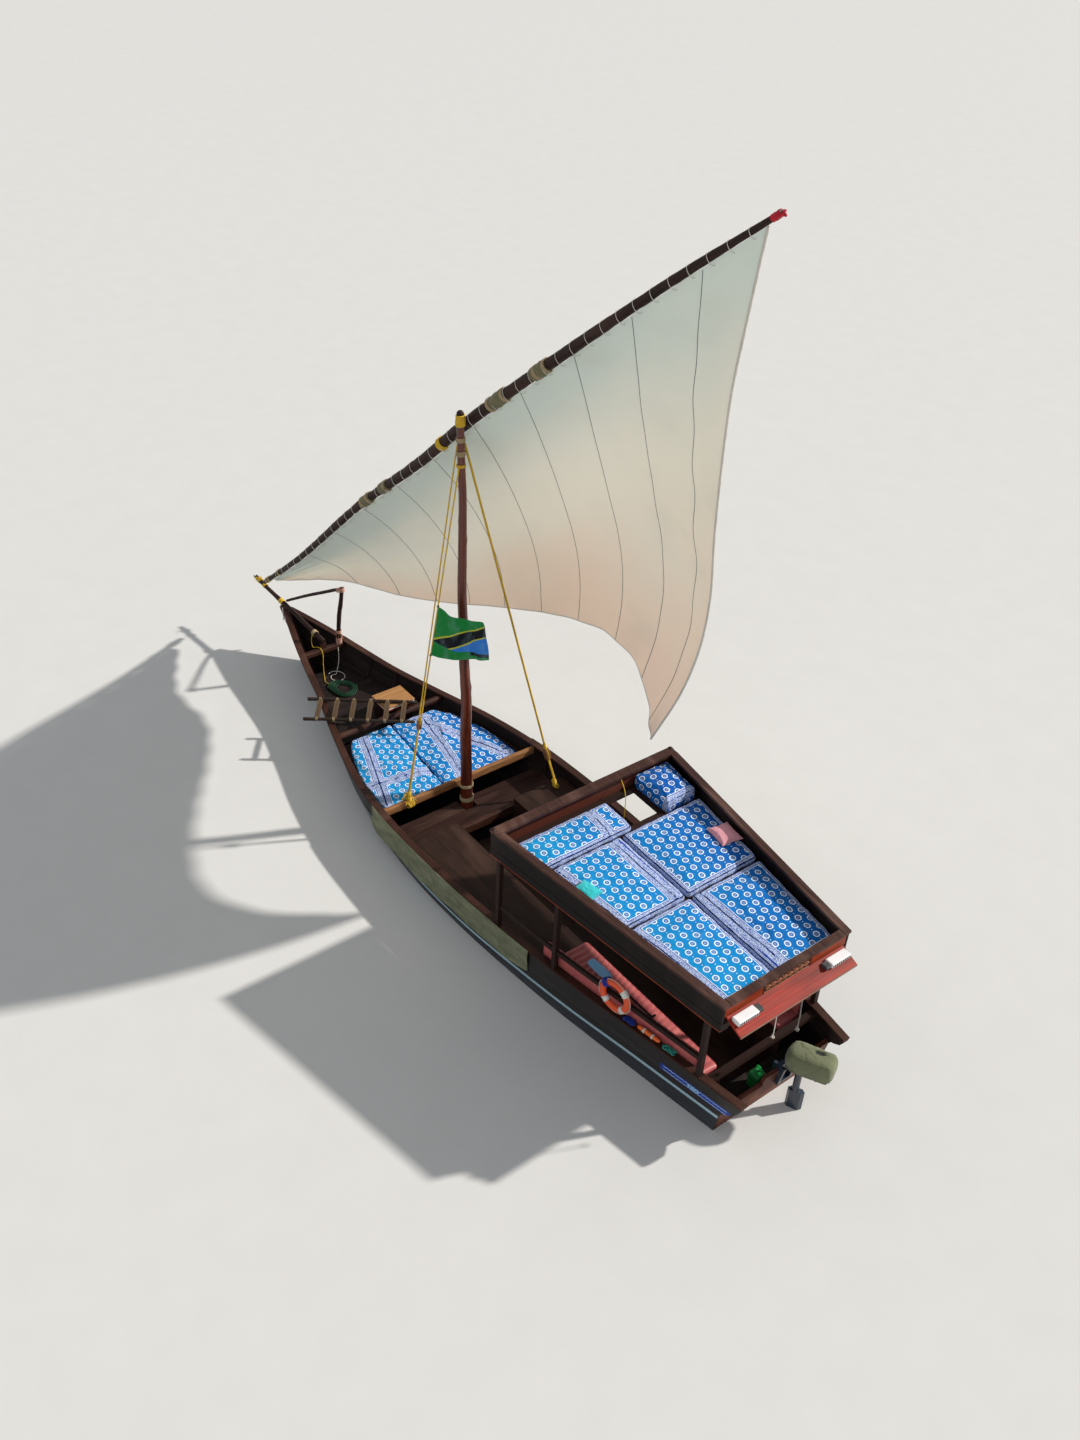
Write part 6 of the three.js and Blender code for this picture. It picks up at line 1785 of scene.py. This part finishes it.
def build_rope_tails():
    # Under the shelf, and one led down through the hatch
    hanging("shelf_tail_long", [(-6.495, -0.045, 1.955), (-6.499, -0.05, 1.83), (-6.502, -0.062, 1.68),
                                (-6.500, -0.070, 1.53), (-6.497, -0.072, 1.39)], 0.020, GREY_ROPE, 0.030)
    hanging("shelf_tail_short", [(-6.470, 0.365, 1.965), (-6.472, 0.366, 1.83), (-6.475, 0.362, 1.66),
                                 (-6.476, 0.364, 1.52)], 0.016, WHITE_ROPE, 0.024)
    hanging("hatch_tail", [(-2.345, -0.585, 2.428), (-2.375, -0.580, 2.390), (-2.45, -0.565, 2.33),
                           (-2.53, -0.54, 2.20), (-2.56, -0.52, 2.0), (-2.565, -0.515, 1.75)], 0.014,
            YELLOW_ROPE, 0.022)
    # From the gallows post and the spar down to the foredeck
    loop = [(4.80 + (0.10 + 0.010 * a) * math.cos(a - 1.0),
             -0.03 + (0.10 + 0.010 * a) * math.sin(a - 1.0) * 0.9,
             0.3095 + 0.0035 * a) for a in np.linspace(0, 2.5 * math.pi, 14)[1:]]
    hanging("bow_rope_pale", [(5.20, -0.285, 0.80), (5.13, -0.265, 0.66), (5.02, -0.20, 0.47),
                              (4.93, -0.10, 0.335)]
            + loop, 0.013, WHITE_ROPE)
    hanging("bow_rope_yellow", [(5.50, 0.055, 0.895), (5.46, 0.10, 0.82), (5.36, 0.13, 0.72),
                                (5.28, 0.10, 0.758), (5.18, 0.07, 0.762), (5.09, 0.08, 0.70),
                                (5.04, 0.11, 0.52), (4.98, 0.14, 0.38), (4.90, 0.17, 0.318),
                                (4.80, 0.22, 0.3095), (4.70, 0.21, 0.3095), (4.62, 0.27, 0.3095)],
            0.014, YELLOW_ROPE)


def build_loose_gear():
    # Paddle on the back cushion
    bag = Bag()
    blade = rounded([(-3.79, 0.985), (-3.81, 1.115), (-4.12, 1.120), (-4.25, 1.045), (-4.25, 1.005),
                     (-4.12, 0.965)], 0.05)
    bag.prism(blade, 0.9625, 0.9755, 0, 0.004)
    branch(bag, [(-4.20, 1.025, 0.976), (-4.55, 1.032, 0.978), (-5.05, 1.025, 0.976)],
           [0.0155, 0.015, 0.016], 12, 0.03, 0.04, 21, 0, 1)
    bag.tube([(-5.05, 0.965, 0.976), (-5.05, 1.025, 0.977), (-5.05, 1.085, 0.976)], 0.016, 14, 1)
    bag.piece("paddle", [PADDLE_BLUE, POLE_WOOD], slot="brown_wood")

    # Float, blue strap and a hank of teal rope on the port cap
    def on_cap(x, up):
        half, sheer = section(x)[:2]
        return pack(x, half - 0.055, sheer + up)

    bag = Bag()
    bag.tube(on_cap(np.linspace(-4.97, -5.34, 14), 0.034),
             np.interp(np.linspace(-4.97, -5.34, 14), [-5.34, -5.325, -5.30, -5.01, -4.985, -4.97],
                       [0.012, 0.024, 0.030, 0.030, 0.024, 0.012]), 20)
    for x in (-5.08, -5.22):
        lashing(bag, on_cap(x, 0.034), (1, 0.1, 0), 0.029, 4, 0.004, 1, 0.03)
    bag.piece("float_tube", [ORANGE_GEAR, WHITE_ROPE], slot="orange_plastic")
    turn = around(26)
    for name, material, start, end, count, lifted, wide, tall, lean, thick in (
            ("blue_strap_heap", BLUE_ROPE, -4.76, -4.90, 9, 0.010, (0.014, 0.040), 0.013, 0, 0.0075),
            ("teal_rope_hank", TEAL_ROPE, -5.42, -5.58, 8, 0.009, (0.018, 0.036), 0.012, 0.4, 0.0065)):
        bag = Bag()
        bag.loops([on_cap(x, 0.016 + lifted * (k % 2)) + pack(wide[0] * np.sin(turn * 2 + k),
                                                              wide[1] * np.cos(turn + lean),
                                                              tall * np.sin(turn))
                   for k, x in enumerate(np.linspace(start, end, count))], thick, 8)
        bag.piece(name, material, slot="rope")


def build_mats():
    """Woven mat hung over each side: over the cap's edge and down the planking."""
    x, down = np.linspace(0.95, -3.04, 110)[None, :], np.linspace(0, 0.46, 26)[:, None]
    half, sheer = section(x)[:2]
    straight = down < 0.05
    y = half + 0.0245 - np.where(straight, 0, (down - 0.05) * 0.03)
    P = pack(x, y, sheer - down + np.where(straight, 0.003, 0))
    sway = field(P * vec(1, 0, 0.6), 3, 2.2)
    P[..., 1] += np.clip(np.arange(26)[:, None] / 6, 0, 1) * (0.010 + 0.022 * sway)
    share = np.linspace(0, 1, 26)[:, None]
    P[..., 2] += share * 0.03 * field(P * vec(1, 0, 0), 8, 1.1)
    P[..., 2] += share ** 2 * 0.06 * np.exp(-np.minimum(np.abs(x - x[0, 0]), np.abs(x - x[0, -1])) / 0.12)
    # Never inside the planking
    for j, at in enumerate(x[0]):
        wall = skin(at, np.linspace(0.2, 1, 160))
        P[:, j, 1] = np.maximum(P[:, j, 1], np.interp(P[:, j, 2], wall[:, 2], wall[:, 1]) + 0.012)
    normal = unit(np.cross(np.gradient(P, axis=0), np.gradient(P, axis=1)))
    normal = np.where(normal[..., 1:2] < 0, -normal, normal)
    run = np.cumsum(np.r_[0, np.linalg.norm(np.diff(P[:, 0], axis=0), axis=-1)])
    bag = Bag()
    area = bag.leaf(P, normal * 0.003, pack(-x, run[:, None]))
    for side, flip in SIDES:
        mat = bag.piece("mat_" + side, MAT, slot="canvas", sharp=80, flip_y=flip)


def build_stage():
    """Pale floor at the water's surface, open inside the hull, and the lights."""
    x = np.linspace(-6.335, 5.9, 120)
    half = []
    for k in x:
        p = skin(k, np.linspace(0, 1, 300), 0.02)
        half.append(max(0.004, float(np.interp(0.0, p[:, 2], p[:, 1]))))
    port = np.column_stack([x, half])
    port = port[port[:, 1] > 0.03]
    end = port[-1, 0] + 0.05
    hole = np.vstack([port, [[end, 0.03], [end, -0.03]], port[::-1] * vec(1, -1)])
    rings = [hole] + [unit(hole) * far for far in (8.0, 30.0, 120.0)]
    bag = Bag().grid(np.stack([pack(*ring.T, 0) for ring in rings]), close_v=True)
    mesh = bpy.data.meshes.new("floor")
    mesh.from_pydata(np.vstack(bag.points).tolist(), [], bag.faces)
    s = Shader("floor_plaster", 0.85, 0.2)
    tone = s.mix(s.noise(s.place, 1.5, 4, 0.5), (0.60, 0.60, 0.59), (0.64, 0.64, 0.63))
    mesh.materials.append(s.finish(tone, None, s.bump(s.noise(s.place, 40.0, 3, 0.5), 0.002, 0.2)))
    floor = bpy.data.objects.new("floor", mesh)
    bpy.context.scene.collection.objects.link(floor)

    bpy.context.scene.view_settings.view_transform = "Standard"
    world = bpy.data.worlds.new("studio")
    bpy.context.scene.world = world
    world.use_nodes = True
    back = world.node_tree.nodes["Background"]
    back.inputs["Color"].default_value = (0.88, 0.90, 0.93, 1)
    back.inputs["Strength"].default_value = 0.45
    for name, way, energy, angle, colour in (("key", (-0.34, -0.78, 0.56), 4.5, 0.03, (1.0, 0.95, 0.88)),
                                             ("fill", (-0.55, 0.70, 0.75), 0.30, 0.6, (0.88, 0.94, 1.0))):
        light = bpy.data.lights.new(name, "SUN")
        light.energy, light.angle, light.color = energy, angle, colour
        lamp = bpy.data.objects.new(name, light)
        lamp.rotation_euler = Vector(way).to_track_quat("Z", "Y").to_euler()
        bpy.context.scene.collection.objects.link(lamp)


build_hull()
build_decks()
build_frames()
build_mast()
build_stays()
build_yard()
build_sail()
build_parrel()
build_flag()
build_roof()
build_soft()
build_ladder()
build_bow_gear()
build_life_ring()
build_can()
build_motor()
build_rope_heap()
build_rope_tails()
build_loose_gear()
build_mats()
build_stage()
